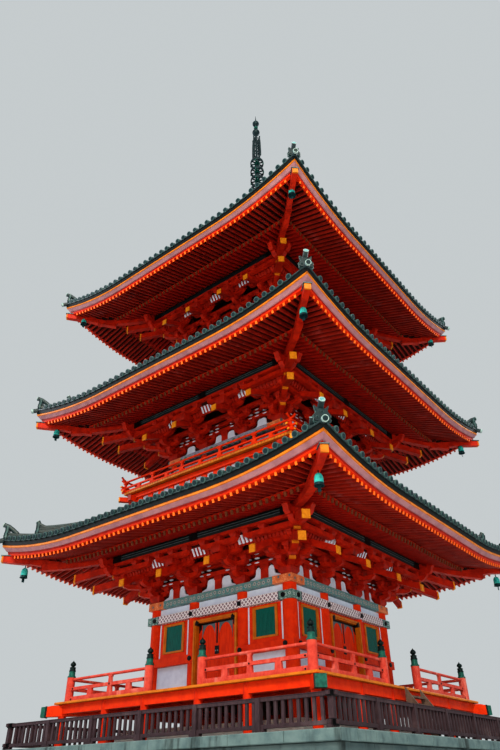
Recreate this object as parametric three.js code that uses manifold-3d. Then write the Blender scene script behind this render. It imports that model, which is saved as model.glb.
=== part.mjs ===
// A three-storied timber pagoda on a stone podium, in millimetres, +Z up.
// The origin is the centre of the podium's underside. The front faces -Y and the stair is on +X.
// One corner of a face is drawn in plain numbers of radius (distance from the axis) and height.
import * as THREE from 'three';
import { mergeVertices } from 'three/addons/utils/BufferGeometryUtils.js';
import Module from 'manifold-3d';

const wasm = await Module();
wasm.setup();

// Joint between two pieces that rest on or stand against each other
const GAP = 0.3;
// How far members of one solid run into each other, and how far a cutter runs past what it cuts
const LAP = 5;
const PAST = 10;
const FACES = ['front', 'right', 'back', 'left'];
const CORNERS = ['front_right', 'back_right', 'back_left', 'front_left'];
const QUARTER = Math.PI / 2;

// Stone podium, its coping course and the white plaster mound under the floor
const PODIUM = { half: 5710, copingHalf: 5770, copingInner: 5160, copingBottom: 938, top: 1150 };
const MOUND = { bottomHalf: 3300, topHalf: 3080, shoulder: 1480, top: 1600 };

// Picket fence along the podium's edge
const FENCE = { line: 5380, thick: 90, foot: 79, top: 1805, rail: 80, post: 120, bays: 6 };

// Veranda around the first storey
const DECK = { half: 4595, top: 2341, thick: 65 };
const VERANDA = {
  postLine: 4400, postRadius: 115, postPlaces: [950, 2510], beamDepth: 240, beamWidth: 180,
  innerLine: 2980, innerDepth: 170, joistWidth: 100, cornerEnd: 4850, cornerSize: 240, cornerDrop: 100,
  lap: 20,
};
const RAILING = {
  line: 4313, entrance: 965, baseHeight: 138, baseWidth: 120, midBottom: 306, midHeight: 85, midWidth: 80,
  topBottom: 562, topHeight: 78, topWidth: 80, tallStrut: 2520, strutWidth: 130, strutDepth: 76,
  postRadius: 118, postTop: 692, sleeveRadius: 98, sleeveTop: 942, neckRadius: 43, neckTop: 962,
  onionRadius: 86, onionMiddle: 1017, tip: 1132,
};
const STAIR = {
  half: 480, stringer: 60, slope: 1.35, depth: 380, foot: 5310, treads: 5, treadDepth: 230, treadThick: 45,
  inset: 20,
};

// First storey: column grid, wall, rails and openings
const BODY = { column: 2575, inner: 947, radius: 195, wallOut: 2645, wallIn: 2505, sides: 8 };
const GROUND_BEAM = 200;
const SILL = { top: 2521, proud: 2780 };
const WAIST = { bottom: 3232, top: 3459, proud: 2780 };
const WALL_TOP = 4911;
const WINDOW = {
  centre: 1755, half: 430, bottom: 3591, top: 4425, frame: 95, frameBottom: 47.5, frameTop: 57, proud: 2668,
  back: 2520, board: 45,
};
const TIE = { bottom: 4468, top: 4695, proud: 2798 };
const PLATE = { top: 5131, half: 2798, inner: 2352 };
const DOORWAY = {
  outer: 830, inner: 740, leafBottom: 2521, leafTop: 4276, head: 4366, proud: 2789, back: 2600,
};
const LEAF = {
  clear: 6, thick: 50, line: 2625, pinRadius: 15, pinLength: 45, pinSlack: 0.8, pinSides: 8, railDepth: 12,
  stileWidth: 75, bottomRail: 220, topRail: 160, fieldHalf: 275,
};
const FLOOR = { thick: 100, postPlace: 1200, postRadius: 90 };

// Storeys: half column spacing, inner column line, top of the wall plate, eave purlin, tail rafter tip,
// half width and height of the eave's yellow strip at mid face, lift of the eave's corner, and body sizes
const STOREYS = [
  { name: 'first', column: 2575, inner: 947, plateTop: 5131, purlin: 3703, purlinTop: 6605,
    tail: 4240, eave: 6301, strip: 6391, lift: 490, roofRise: 0.42 },
  { name: 'second', column: 2360, inner: 905, plateTop: 10192, purlin: 3542, purlinTop: 11693,
    tail: 4040, eave: 6136, strip: 11372, lift: 510, roofRise: 0.455, floorTop: 8929, floorHalf: 3635 },
  { name: 'third', column: 2090, inner: 812, plateTop: 15434, purlin: 3265, purlinTop: 16920,
    tail: 3780, eave: 5919, strip: 16486, lift: 650, roofRise: 0.73, floorTop: 14171, floorHalf: 3365 },
];
const UPPER = {
  radius: 170, wall: 100, sillProud: 195, sillHeight: 240, plateProud: 215, tieHeight: 220, frieze: 200,
};
const BALCONY = {
  edge: 90, rail: -25, beamBack: 155, beamDepth: 119, corbelRise: 42, seat: 260, corbel: 420,
};
const UPPER_RAIL = {
  baseHeight: 60, midBottom: 175, midHeight: 50, topBottom: 424, topHeight: 58, width: 62, cross: 230,
  struts: 3, lap: 20, strutInset: 6, strutFoot: 15, strutTop: 464,
};

// Bracket sets: heights above the plate, and widths
const BRACKET = {
  wall: 100, block: 200, stepTop: 560, tailCentre: 371, tailHalf: 100, tailSlope: 0.45, armWidth: 200,
  purlinHalf: 100, purlinDepth: 220, ledge: 230, ledgeDepth: 170, cornerTail: 1.071, cornerTailRise: 380,
};

// Eaves: rafter tiers and boards along the edge; flyReach is the share of the flying rafters that slopes
const EAVES = {
  baseShare: 0.5, step: 130, tipBack: 200, edgeBoard: 161, tipDrop: 261, boardBack: 130, strip: 90,
  seat: 170, thick: 180, flyThick: 190, inner: 40, flyReach: 0.9,
};
// The hip rafter under each corner: heights against the rafters' underside at its start and its middle
const HIP = {
  width: 200, depth: 330, end: 0.989, drop: 245, start: 20, startTop: 60, startBottom: 120, middleTop: 200,
  middleBottom: 150,
};
// The wind bell that hangs from the hip rafter
const BELL = {
  at: 0.903, radius: 115, shoulder: 82.8, shoulderDrop: 40, height: 300, hook: 60, stem: 18, seat: 30,
  slope: 0.1, sides: 6,
};
const STATIONS = [-1, -0.8, -0.5, 0.5, 0.8];
const LIFT = { start: 0.42, power: 1.9 };
const TILES = { overhang: 70, edge: 220, thick: 180, sag: 0.74, steps: 4, lip: 20, curb: 90 };
// Stacked ridge on each hip: its places are shares of the way from the top of the roof to its edge
const RIDGE = {
  places: [0.1, 0.35, 0.6, 0.8], end: 0.8, width: 300, height: 300, low: 190, sink: 90,
  endHeight: 520, endLength: 160, endWidth: 360, endFront: 20, endPeak: 40,
  tailWidth: 260, tailStart: 50, corner: 40, peak: 60, peakBack: 190, tip: 70, tipLow: 60, tipHigh: 260,
};
const ROOF_TOP = 400;

// Bronze spire above the third roof
const SPIRE = {
  baseHalf: 520, baseHeight: 480, baseLip: 70, bowlTop: 1050, bowlRadius: 440, poleRadius: 95, rings: 9,
  firstRing: 22200, pitch: 713, ringRadius: 400, ringShrink: 0.012, ringThick: 130, sides: 8, hub: 150,
  flameBottom: 28260, flameTop: 30140, flameHalf: 300, flameThick: 36, flameFoot: 60, stemSides: 10,
  spikeFoot: 60,
  lowBall: 30610, lowBallRadius: 205, topBall: 31420, topBallRadius: 185, tip: 32151,
};

const PAINT = {
  granite: [0x8b948c, 0.9, 0],
  mound: [0xe9e7e2, 0.8, 0],
  fence: [0x4d3a3c, 0.7, 0],
  vermilion: [0xd93a10, 0.5, 0],
  rail: [0xd4584a, 0.6, 0],
  deck: [0xc98a2b, 0.6, 0],
  soffit: [0xa3190c, 0.6, 0],
  plate: [0x4f8f8c, 0.6, 0],
  window: [0x0b6b4f, 0.5, 0],
  ochre: [0xc78a17, 0.5, 0],
  door: [0xd33408, 0.5, 0],
  timber: [0x7b4a2a, 0.7, 0],
  stair: [0x6a5f58, 0.8, 0],
  tile: [0x3f5457, 0.5, 0],
  bronze: [0x33423f, 0.45, 0.7],
};

function paint(name) {
  const [color, roughness, metalness] = PAINT[name];
  return new THREE.MeshStandardMaterial({ name, color, roughness, metalness });
}

// A closed mesh made into a solid that can be joined and cut
function solid(geometry) {
  const bare = geometry.clone();
  bare.deleteAttribute('normal');
  bare.deleteAttribute('uv');
  const welded = mergeVertices(bare, 0.01);
  return new wasm.Manifold(new wasm.Mesh({
    numProp: 3,
    vertProperties: new Float32Array(welded.attributes.position.array),
    triVerts: new Uint32Array(welded.index.array),
  }));
}

function join(solids) {
  return solids.reduce((whole, next) => whole.add(next));
}

function cut(body, tools) {
  return tools.reduce((whole, next) => whole.subtract(next), body);
}

function piece(name, body, paintName) {
  const mesh = body.getMesh();
  const geometry = new THREE.BufferGeometry();
  geometry.setAttribute('position', new THREE.BufferAttribute(new Float32Array(mesh.vertProperties), 3));
  geometry.setIndex(new THREE.BufferAttribute(new Uint32Array(mesh.triVerts), 1));
  geometry.computeVertexNormals();
  const result = new THREE.Mesh(geometry, paint(paintName));
  result.name = name;
  return result;
}

// The same solid in another place; a mirrored one has its triangles turned over to face out again
function moved(body, matrix) {
  const mesh = body.getMesh();
  const places = new THREE.BufferAttribute(new Float32Array(mesh.vertProperties), 3);
  places.applyMatrix4(matrix);
  const triVerts = new Uint32Array(mesh.triVerts);
  if (matrix.determinant() < 0) {
    for (let i = 0; i < triVerts.length; i += 3) {
      [triVerts[i], triVerts[i + 1]] = [triVerts[i + 1], triVerts[i]];
    }
  }
  return new wasm.Manifold(new wasm.Mesh({ numProp: 3, vertProperties: places.array, triVerts }));
}

function turned(body, quarters) {
  const [cos, sin] = [[1, 0], [0, 1], [-1, 0], [0, -1]][quarters];
  return moved(body, new THREE.Matrix4().set(cos, -sin, 0, 0, sin, cos, 0, 0, 0, 0, 1, 0, 0, 0, 0, 1));
}

function allRound(body) {
  return join([0, 1, 2, 3].map((quarters) => turned(body, quarters)));
}

// A solid of the front face as it stands on the right face, both alike about the corner between them
function roundTheCorner(body) {
  return turned(moved(body, new THREE.Matrix4().makeScale(-1, 1, 1)), 1);
}

function faceGroup(index) {
  const group = new THREE.Group();
  group.rotation.z = index * QUARTER;
  return group;
}

function block(x0, x1, y0, y1, z0, z1) {
  const geometry = new THREE.BoxGeometry(x1 - x0, y1 - y0, z1 - z0);
  geometry.translate((x0 + x1) / 2, (y0 + y1) / 2, (z0 + z1) / 2);
  return solid(geometry);
}

// A block on the front face, from radius r0 to r1 and centred on x
function frontBlock(x, halfWidth, r0, r1, z0, z1) {
  return block(x - halfWidth, x + halfWidth, -r1, -r0, z0, z1);
}

function squareBlock(half, z0, z1) {
  return block(-half, half, -half, half, z0, z1);
}

function ring(outer, inner, z0, z1) {
  return squareBlock(outer, z0, z1).subtract(squareBlock(inner, z0 - PAST, z1 + PAST));
}

function post(x, y, z0, z1, radius, sides) {
  const geometry = new THREE.CylinderGeometry(radius, radius, z1 - z0, sides);
  geometry.rotateX(QUARTER);
  geometry.rotateZ(Math.PI / sides);
  geometry.translate(x, y, (z0 + z1) / 2);
  return solid(geometry);
}

// A turned form about the vertical axis through x, y; the profile runs from the axis back to the axis
function turning(profile, x, y, sides) {
  const geometry = new THREE.LatheGeometry(profile.map(([r, z]) => new THREE.Vector2(r, z)), sides);
  geometry.rotateX(QUARTER);
  geometry.translate(x, y, 0);
  return solid(geometry);
}

// An outline of radius and height, extruded across the front face
function frontProfile(points, width, x) {
  const shape = new THREE.Shape(points.map(([r, z]) => new THREE.Vector2(r, z)));
  const geometry = new THREE.ExtrudeGeometry(shape, { depth: width, bevelEnabled: false });
  const turn = new THREE.Matrix4().makeBasis(
    new THREE.Vector3(0, -1, 0), new THREE.Vector3(0, 0, 1), new THREE.Vector3(-1, 0, 0));
  geometry.applyMatrix4(turn);
  geometry.translate(x + width / 2, 0, 0);
  return solid(geometry);
}

// The same outline standing on the diagonal of the front right corner; r is measured square to a face
function cornerProfile(points, width) {
  const stretched = points.map(([r, z]) => [r * Math.SQRT2, z]);
  return moved(frontProfile(stretched, width, 0), new THREE.Matrix4().makeRotationZ(QUARTER / 2));
}

// A band that runs round the building: an outline of radius and height carried past every station,
// lifted towards the corners by rise(radius, distance along the face). Every four-sided patch is split
// from its smaller radius to its larger one, so that two bands lie flat on each other
function band(outline, rise, stations) {
  const positions = [];
  const around = [];
  for (let face = 0; face < 4; face += 1) {
    for (const share of stations) around.push([face, share]);
  }
  for (const [face, share] of around) {
    const turn = new THREE.Matrix4().makeRotationZ(face * QUARTER);
    for (const [r, z] of outline) {
      const point = new THREE.Vector3(share * r, -r, z + rise(r, Math.abs(share) * r));
      point.applyMatrix4(turn);
      positions.push(point.x, point.y, point.z);
    }
  }
  const count = outline.length;
  const index = [];
  for (let i = 0; i < around.length; i += 1) {
    const here = i * count;
    const there = ((i + 1) % around.length) * count;
    for (let j = 0; j < count; j += 1) {
      const next = (j + 1) % count;
      if (outline[j][0] <= outline[next][0]) {
        index.push(here + j, there + next, here + next, here + j, there + j, there + next);
      } else {
        index.push(here + j, there + j, here + next, there + j, there + next, here + next);
      }
    }
  }
  const geometry = new THREE.BufferGeometry();
  geometry.setAttribute('position', new THREE.Float32BufferAttribute(positions, 3));
  geometry.setIndex(index);
  return solid(geometry);
}

const level = () => 0;

function podiumGroup() {
  const group = new THREE.Group();
  const core = join([
    squareBlock(PODIUM.half, 0, PODIUM.copingBottom - GAP),
    squareBlock(PODIUM.copingInner - GAP, PODIUM.copingBottom - 100, PODIUM.top),
  ]);
  group.add(piece('podium', core, 'granite'));
  const coping = ring(PODIUM.copingHalf, PODIUM.copingInner, PODIUM.copingBottom, PODIUM.top);
  group.add(piece('podium_coping', coping, 'granite'));
  const mound = new THREE.CylinderGeometry(
    MOUND.topHalf * Math.SQRT2, MOUND.bottomHalf * Math.SQRT2, MOUND.top - MOUND.shoulder, 4);
  mound.rotateX(QUARTER);
  mound.rotateZ(QUARTER / 2);
  mound.translate(0, 0, (MOUND.top + MOUND.shoulder) / 2);
  const plaster = solid(mound).add(squareBlock(MOUND.bottomHalf, PODIUM.top + GAP, MOUND.shoulder));
  group.add(piece('plaster_mound', plaster, 'mound'));
  return group;
}

// One side of the fence, from its own corner post to the next side's
function fenceSide() {
  const { line, thick, top, rail, post: postWidth } = FENCE;
  const bottom = PODIUM.top + FENCE.foot;
  const outer = line + thick / 2;
  const inner = line - thick / 2;
  const bay = (2 * line) / FENCE.bays;
  const members = [
    block(-outer, inner - GAP, -outer, -inner, top - rail, top),
    block(-outer, inner - GAP, -outer, -inner, bottom, bottom + rail),
  ];
  for (let i = 0; i < FENCE.bays; i += 1) {
    const x = Math.max(-line + i * bay, -outer + postWidth / 2);
    members.push(frontBlock(x, postWidth / 2, inner, outer, PODIUM.top + GAP, top));
  }
  return join(members);
}

function fenceGroup() {
  const group = new THREE.Group();
  const side = fenceSide();
  FACES.forEach((face, index) => {
    const holder = faceGroup(index);
    holder.add(piece(`fence_${face}`, side, 'fence'));
    group.add(holder);
  });
  return group;
}

function verandaFrame() {
  const { postLine, postRadius, beamDepth, beamWidth, innerLine, innerDepth, joistWidth } = VERANDA;
  const top = DECK.top - DECK.thick - GAP;
  const members = [
    ring(postLine + beamWidth / 2, postLine - beamWidth / 2, top - beamDepth, top),
    ring(innerLine + joistWidth / 2, innerLine - joistWidth / 2, top - innerDepth, top),
  ];
  const lap = top - VERANDA.lap;
  const quarter = [post(postLine, -postLine, PODIUM.top + GAP, lap, postRadius, 6)];
  for (const place of VERANDA.postPlaces) {
    for (const side of [-1, 1]) {
      quarter.push(post(side * place, -postLine, PODIUM.top + GAP, lap, postRadius, 6));
    }
  }
  const joist = VERANDA.postPlaces[1];
  for (const side of [-1, 1]) {
    quarter.push(frontBlock(side * joist, joistWidth / 2, innerLine, postLine, lap - innerDepth / 2, lap));
  }
  const corner = [
    [innerLine, lap], [innerLine, lap - VERANDA.cornerSize],
    [VERANDA.cornerEnd, lap - VERANDA.cornerSize - VERANDA.cornerDrop / 2],
    [VERANDA.cornerEnd, lap - VERANDA.cornerDrop / 2], [DECK.half, lap],
  ];
  quarter.push(cornerProfile(corner, VERANDA.cornerSize));
  members.push(allRound(join(quarter)));
  return join(members);
}

// Every column of one storey
function columns(storey, z0, z1, radius, sides) {
  const quarter = [
    post(storey.column, -storey.column, z0, z1, radius, sides),
    post(-storey.inner, -storey.column, z0, z1, radius, sides),
    post(storey.inner, -storey.column, z0, z1, radius, sides),
  ];
  return allRound(join(quarter));
}

// The turned finial post: wooden post, bronze sleeve and onion
function finialPost(x, y) {
  const base = DECK.top + GAP;
  const { postRadius, postTop, sleeveRadius, sleeveTop } = RAILING;
  const { neckRadius, neckTop, onionRadius, onionMiddle, tip } = RAILING;
  const profile = [
    [0, 0], [postRadius, 0], [postRadius, postTop], [sleeveRadius, sleeveTop], [neckRadius, neckTop],
    [onionRadius, onionMiddle], [0, tip],
  ];
  return turning(profile.map(([r, z]) => [r, z + base]), x, y, 8);
}

// One arm of the veranda's railing, along the front from the entrance to the corner post
function railingArm() {
  const base = DECK.top + GAP;
  const { line, entrance, baseHeight, baseWidth, midBottom, midHeight, midWidth } = RAILING;
  const { topBottom, topHeight, topWidth, strutWidth, strutDepth, tallStrut } = RAILING;
  const rail = (width, z0, height) => block(
    entrance, line, -line - width / 2, -line + width / 2, base + z0, base + z0 + height);
  const members = [
    rail(baseWidth, 0, baseHeight),
    rail(midWidth, midBottom, midHeight),
    rail(topWidth, topBottom, topHeight),
  ];
  const strut = (x, height) => frontBlock(
    x, strutWidth / 2, line - strutDepth / 2, line + strutDepth / 2, base + baseHeight - LAP, base + height);
  members.push(strut(tallStrut, topBottom + LAP));
  return join(members);
}

// The railing of one corner: an arm on each face, a corner post and the two entrance posts
function cornerRailing() {
  const front = railingArm();
  const side = roundTheCorner(front);
  return join([
    front, side, finialPost(RAILING.line, -RAILING.line),
    finialPost(RAILING.entrance, -RAILING.line), finialPost(RAILING.line, -RAILING.entrance),
  ]);
}

function stair() {
  const { half, stringer, slope, depth, foot, treads, treadDepth, treadThick } = STAIR;
  const start = DECK.half + GAP;
  const ground = PODIUM.top + GAP;
  const lineAt = (r) => DECK.top - slope * (r - start);
  const bottomMeets = start + (DECK.top - depth - ground) / slope;
  const outline = [
    [start, DECK.top], [start, DECK.top - depth], [bottomMeets, ground], [foot, ground],
    [foot, lineAt(foot)],
  ];
  const members = [-1, 1].map((side) => frontProfile(outline, stringer, side * (half - stringer / 2)));
  const rise = (DECK.top - PODIUM.top) / (treads + 1);
  for (let i = 1; i <= treads; i += 1) {
    const z = DECK.top - rise * i;
    const front = Math.min(start + (DECK.top - z) / slope, foot) - STAIR.inset;
    const back = Math.max(front - treadDepth, start + PAST);
    members.push(frontBlock(0, half - stringer / 2, back, front, z - treadThick, z));
  }
  return join(members);
}

function verandaGroup() {
  const group = new THREE.Group();
  group.add(piece('veranda_frame', verandaFrame(), 'vermilion'));
  const deck = ring(DECK.half, BODY.column + BODY.radius + 1, DECK.top - DECK.thick, DECK.top);
  group.add(piece('veranda_deck', deck, 'deck'));
  const railing = cornerRailing();
  CORNERS.forEach((corner, index) => {
    const holder = faceGroup(index);
    holder.add(piece(`railing_${corner}`, railing, 'rail'));
    group.add(holder);
  });
  const right = faceGroup(1);
  right.add(piece('stair', stair(), 'stair'));
  group.add(right);
  return group;
}

// One wall bay on the front, from the door frame to the corner column, with its window hole
function wallBay() {
  const { column, inner, wallOut, wallIn, radius } = BODY;
  const bottom = DECK.top - GROUND_BEAM;
  const members = [
    block(inner, column, -wallOut, -wallIn, bottom, WALL_TOP),
    block(inner, SILL.proud, -SILL.proud, -wallIn, DECK.top + GAP, SILL.top),
    block(DOORWAY.outer + GAP, WAIST.proud, -WAIST.proud, -wallIn, WAIST.bottom, WAIST.top),
    block(inner - radius, TIE.proud, -TIE.proud, -wallIn, TIE.bottom, TIE.top),
    post(inner, -column, MOUND.top + GAP, WALL_TOP, radius, BODY.sides),
  ];
  const hole = block(
    WINDOW.centre - WINDOW.half - GAP, WINDOW.centre + WINDOW.half + GAP, -SILL.proud - PAST, -wallIn + PAST,
    WINDOW.bottom - GAP, WINDOW.top + GAP);
  return join(members).subtract(hole);
}

function cornerWall() {
  const bay = wallBay();
  const side = roundTheCorner(bay);
  const cornerPost = post(BODY.column, -BODY.column, MOUND.top + GAP, WALL_TOP, BODY.radius, BODY.sides);
  return join([bay, side, cornerPost]);
}

function windowPanel() {
  const { half, bottom, top, frame, frameBottom, frameTop, proud, back, board } = WINDOW;
  const whole = block(-half, half, -proud, -back, bottom, top);
  const recess = block(
    -half + frame, half - frame, -proud - PAST, -back - board, bottom + frameBottom, top - frameTop);
  return whole.subtract(recess);
}

// The portal round a doorway: moulded frame, threshold, the board and beam over it, and the pivot sockets
function doorFrame(hinged) {
  const { outer, inner, leafBottom, leafTop, head, proud, back } = DOORWAY;
  const between = BODY.inner - BODY.radius - GAP;
  const moulding = block(-outer, outer, -proud, -back, DECK.top + GAP, head);
  const columnNotches = [-1, 1].map((side) => post(
    side * BODY.inner, -BODY.column, DECK.top - PAST, head + PAST, BODY.radius + GAP * 1.2, BODY.sides));
  const members = [
    cut(moulding, columnNotches),
    block(-between, between, -BODY.wallOut, -BODY.wallIn, DECK.top - GROUND_BEAM, WALL_TOP),
    block(-between, between, -TIE.proud, -BODY.wallIn, TIE.bottom, TIE.top),
  ];
  const passage = block(-inner, inner, -proud - PAST, 0, leafBottom, leafTop);
  const pivot = (LEAF.pinRadius + LEAF.pinSlack) / Math.cos(Math.PI / LEAF.pinSides);
  const reach = LEAF.pinLength + GAP;
  const sockets = hinged ? [-1, 1].map((side) => post(
    side * (inner - LEAF.clear - LEAF.thick / 2), -LEAF.line, leafBottom - reach, leafTop + reach,
    pivot, LEAF.pinSides)) : [];
  return cut(join(members), [passage, ...sockets]);
}

// A door leaf hung on the left of the front doorway: pivot stile, panel with a sunk field, and pins
function doorLeaf() {
  const { clear, thick, line, pinRadius, pinLength, railDepth, stileWidth, bottomRail, topRail } = LEAF;
  const pivotX = -(DOORWAY.inner - clear - thick / 2);
  const z0 = DOORWAY.leafBottom + clear;
  const z1 = DOORWAY.leafTop - clear;
  const panel = block(pivotX, -clear / 2, -line - thick / 2, -line + thick / 2, z0, z1);
  const field = block(
    pivotX + stileWidth, -clear / 2 - stileWidth, -line - thick, -line - thick / 2 + railDepth,
    z0 + bottomRail, z1 - topRail);
  const stile = post(pivotX, -line, z0, z1, thick / 2, 8);
  const pin = post(pivotX, -line, z0 - clear - pinLength, z1 + clear + pinLength, pinRadius, LEAF.pinSides);
  return join([panel.subtract(field), stile, pin]);
}

// The closed doors of the faces that stay shut: both leaves as one piece that stands on its threshold
function closedDoors() {
  const { thick, line, railDepth, bottomRail, topRail, fieldHalf } = LEAF;
  const half = DOORWAY.inner - GAP;
  const z0 = DOORWAY.leafBottom + GAP;
  const z1 = DOORWAY.leafTop - GAP;
  const panel = block(-half, half, -line - thick / 2, -line + thick / 2, z0, z1);
  const fields = [-half / 2, half / 2].map((middle) => block(
    middle - fieldHalf, middle + fieldHalf, -line - thick, -line - thick / 2 + railDepth,
    z0 + bottomRail, z1 - topRail));
  return cut(panel, fields);
}

// The floor inside, notched square round the columns and carried by short posts on the plaster
function firstFloor() {
  const slab = squareBlock(BODY.wallIn - GAP, DECK.top - FLOOR.thick, DECK.top);
  const reach = BODY.radius + 1;
  const notches = allRound(join([BODY.column, -BODY.inner, BODY.inner].map((x) => frontBlock(
    x, reach, BODY.column - reach, BODY.column + reach, 0, PLATE.top))));
  const { postPlace, postRadius, thick } = FLOOR;
  const posts = [[-1, -1], [-1, 1], [1, -1], [1, 1]].map(([x, y]) => post(
    x * postPlace, y * postPlace, MOUND.top + GAP, DECK.top - thick + LAP, postRadius, BODY.sides));
  return join([slab.subtract(notches), ...posts]);
}

function firstBody() {
  const group = new THREE.Group();
  const wall = cornerWall();
  const panel = windowPanel();
  const leaf = doorLeaf();
  const otherLeaf = moved(leaf, new THREE.Matrix4().makeScale(-1, 1, 1));
  CORNERS.forEach((corner, index) => {
    const holder = faceGroup(index);
    holder.add(piece(`wall_${corner}`, wall, 'vermilion'));
    group.add(holder);
  });
  FACES.forEach((face, index) => {
    const holder = faceGroup(index);
    for (const [side, sign] of [['a', -1], ['b', 1]]) {
      const window = piece(`window_${face}_${side}`, panel, 'window');
      window.position.x = sign * WINDOW.centre;
      holder.add(window);
    }
    const hinged = index < 2;
    holder.add(piece(`door_frame_${face}`, doorFrame(hinged), 'ochre'));
    if (hinged) {
      holder.add(piece(`door_${face}_a`, leaf, 'door'));
      holder.add(piece(`door_${face}_b`, otherLeaf, 'door'));
    } else {
      holder.add(piece(`doors_${face}`, closedDoors(), 'door'));
    }
    group.add(holder);
  });
  group.add(piece('first_floor', firstFloor(), 'timber'));
  group.add(piece('first_plate', ring(PLATE.half, PLATE.inner, WALL_TOP + GAP, PLATE.top), 'plate'));
  return group;
}

// Height of the underside of the rafters over the wall and out to the tips
function rafterSlope(storey) {
  const baseEnd = storey.purlin + EAVES.baseShare * (storey.eave - storey.purlin);
  const tip = storey.eave - EAVES.tipBack;
  const drop = storey.purlinTop + EAVES.step - (storey.strip - EAVES.tipDrop);
  return drop / (baseEnd - storey.purlin + EAVES.flyReach * (tip - baseEnd));
}

function rafterBottom(storey, r) {
  return storey.purlinTop + GAP - rafterSlope(storey) * (r - storey.purlin - BRACKET.purlinHalf);
}

function cornerLift(storey) {
  const span = storey.eave - storey.purlin;
  return (r, along) => {
    const out = Math.max(0, (r - storey.purlin - BRACKET.purlinHalf) / (span - BRACKET.purlinHalf));
    const share = Math.max(0, (along / storey.eave - LIFT.start) / (1 - LIFT.start));
    return storey.lift * out * share ** LIFT.power;
  };
}

function bracketTop(storey) {
  return rafterBottom(storey, storey.column + BRACKET.wall) - 2 * GAP;
}

// One bracket set in side view, a corbel with its sloping tail rafter
function bracketOutline(storey, tail, rise) {
  const base = storey.plateTop + GAP;
  const second = storey.column + (2 * (storey.purlin - storey.column)) / 3 + BRACKET.wall;
  const centre = base + BRACKET.tailCentre + rise;
  const tailTop = (r) => centre + BRACKET.tailSlope * (tail - r) + BRACKET.tailHalf;
  const purlinBottom = storey.purlinTop - BRACKET.purlinDepth + LAP;
  const out = storey.purlin + BRACKET.purlinHalf - LAP;
  const inside = storey.purlin - BRACKET.purlinHalf + LAP;
  const wall = storey.column - BRACKET.wall + 2 * LAP;
  return [
    [wall, base + LAP], [storey.column + BRACKET.block, base + LAP], [second, base + BRACKET.stepTop],
    [tail, centre - BRACKET.tailHalf], [tail, centre + BRACKET.tailHalf], [out, tailTop(out)],
    [out, purlinBottom], [inside, purlinBottom], [inside, tailTop(inside)], [wall, tailTop(wall)],
  ];
}

function brackets(storey, innerHalf) {
  const base = storey.plateTop + GAP;
  const top = bracketTop(storey);
  const members = [
    ring(storey.column + BRACKET.wall, storey.column - BRACKET.wall, base, top),
    ring(
      storey.purlin + BRACKET.purlinHalf, storey.purlin - BRACKET.purlinHalf,
      storey.purlinTop - BRACKET.purlinDepth, storey.purlinTop),
  ];
  if (innerHalf) {
    members.push(ring(storey.column, innerHalf - BRACKET.ledge, top - BRACKET.ledgeDepth, top));
  }
  const outline = bracketOutline(storey, storey.tail, 0);
  const quarter = [-storey.column, -storey.inner, storey.inner, storey.column].map(
    (x) => frontProfile(outline, BRACKET.armWidth, x));
  const corner = bracketOutline(storey, storey.tail * BRACKET.cornerTail, BRACKET.cornerTailRise);
  quarter.push(cornerProfile(corner, BRACKET.armWidth));
  members.push(allRound(join(quarter)));
  return join(members);
}

function eavesOutline(storey, inner) {
  const { purlin, eave, strip } = storey;
  const baseEnd = purlin + EAVES.baseShare * (eave - purlin);
  const tip = eave - EAVES.tipBack;
  const bottom = (r) => rafterBottom(storey, r);
  const outside = purlin + BRACKET.purlinHalf;
  return [
    [inner, bottom(inner)], [outside, bottom(outside)], [baseEnd, bottom(baseEnd)],
    [baseEnd, bottom(baseEnd) + EAVES.step], [tip, strip - EAVES.tipDrop], [tip, strip - EAVES.edgeBoard],
    [eave - EAVES.boardBack, strip - EAVES.edgeBoard], [eave, strip], [eave, strip + EAVES.strip],
    [eave - EAVES.seat, strip + EAVES.strip], [baseEnd, bottom(baseEnd) + EAVES.step + EAVES.flyThick],
    [inner, bottom(inner) + EAVES.thick],
  ];
}

// The hip rafter under one corner with the wind bell that hangs from it
function hipRafter(storey) {
  const rise = cornerLift(storey);
  const start = storey.purlin + BRACKET.purlinHalf + HIP.start;
  const end = storey.eave * HIP.end;
  const baseEnd = storey.purlin + EAVES.baseShare * (storey.eave - storey.purlin);
  const under = (r) => rafterBottom(storey, r) + rise(r, r);
  const endTop = storey.strip + storey.lift - HIP.drop;
  const outline = [
    [start, under(storey.purlin) + HIP.startTop], [start, under(storey.purlin) - HIP.startBottom],
    [baseEnd, under(baseEnd) - HIP.middleBottom], [end, endTop - HIP.depth], [end, endTop],
    [baseEnd, under(baseEnd) + HIP.middleTop],
  ];
  const bellAt = storey.eave * BELL.at;
  const hook = endTop - HIP.depth + BELL.seat - (end - bellAt) * BELL.slope;
  const crown = hook - BELL.hook;
  const bell = turning([
    [0, crown - BELL.height], [BELL.radius, crown - BELL.height], [BELL.shoulder, crown - BELL.shoulderDrop],
    [BELL.stem, crown], [BELL.stem, hook + BELL.hook], [0, hook + BELL.hook],
  ], bellAt, -bellAt, BELL.sides);
  return cornerProfile(outline, HIP.width).add(bell);
}

function eaves(storey, inner) {
  const body = band(eavesOutline(storey, inner), cornerLift(storey), STATIONS);
  return body.add(allRound(hipRafter(storey)));
}

// Height of the tiles at mid face, sagging between the edge and the top
function tileHeight(storey, inner) {
  const outer = storey.eave + TILES.overhang;
  const edge = storey.strip + EAVES.strip + TILES.edge;
  const rise = storey.roofRise * (outer - inner);
  return (r) => {
    const share = (outer - r) / (outer - inner);
    return edge + rise * (TILES.sag * share + (1 - TILES.sag) * share * share);
  };
}

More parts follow.
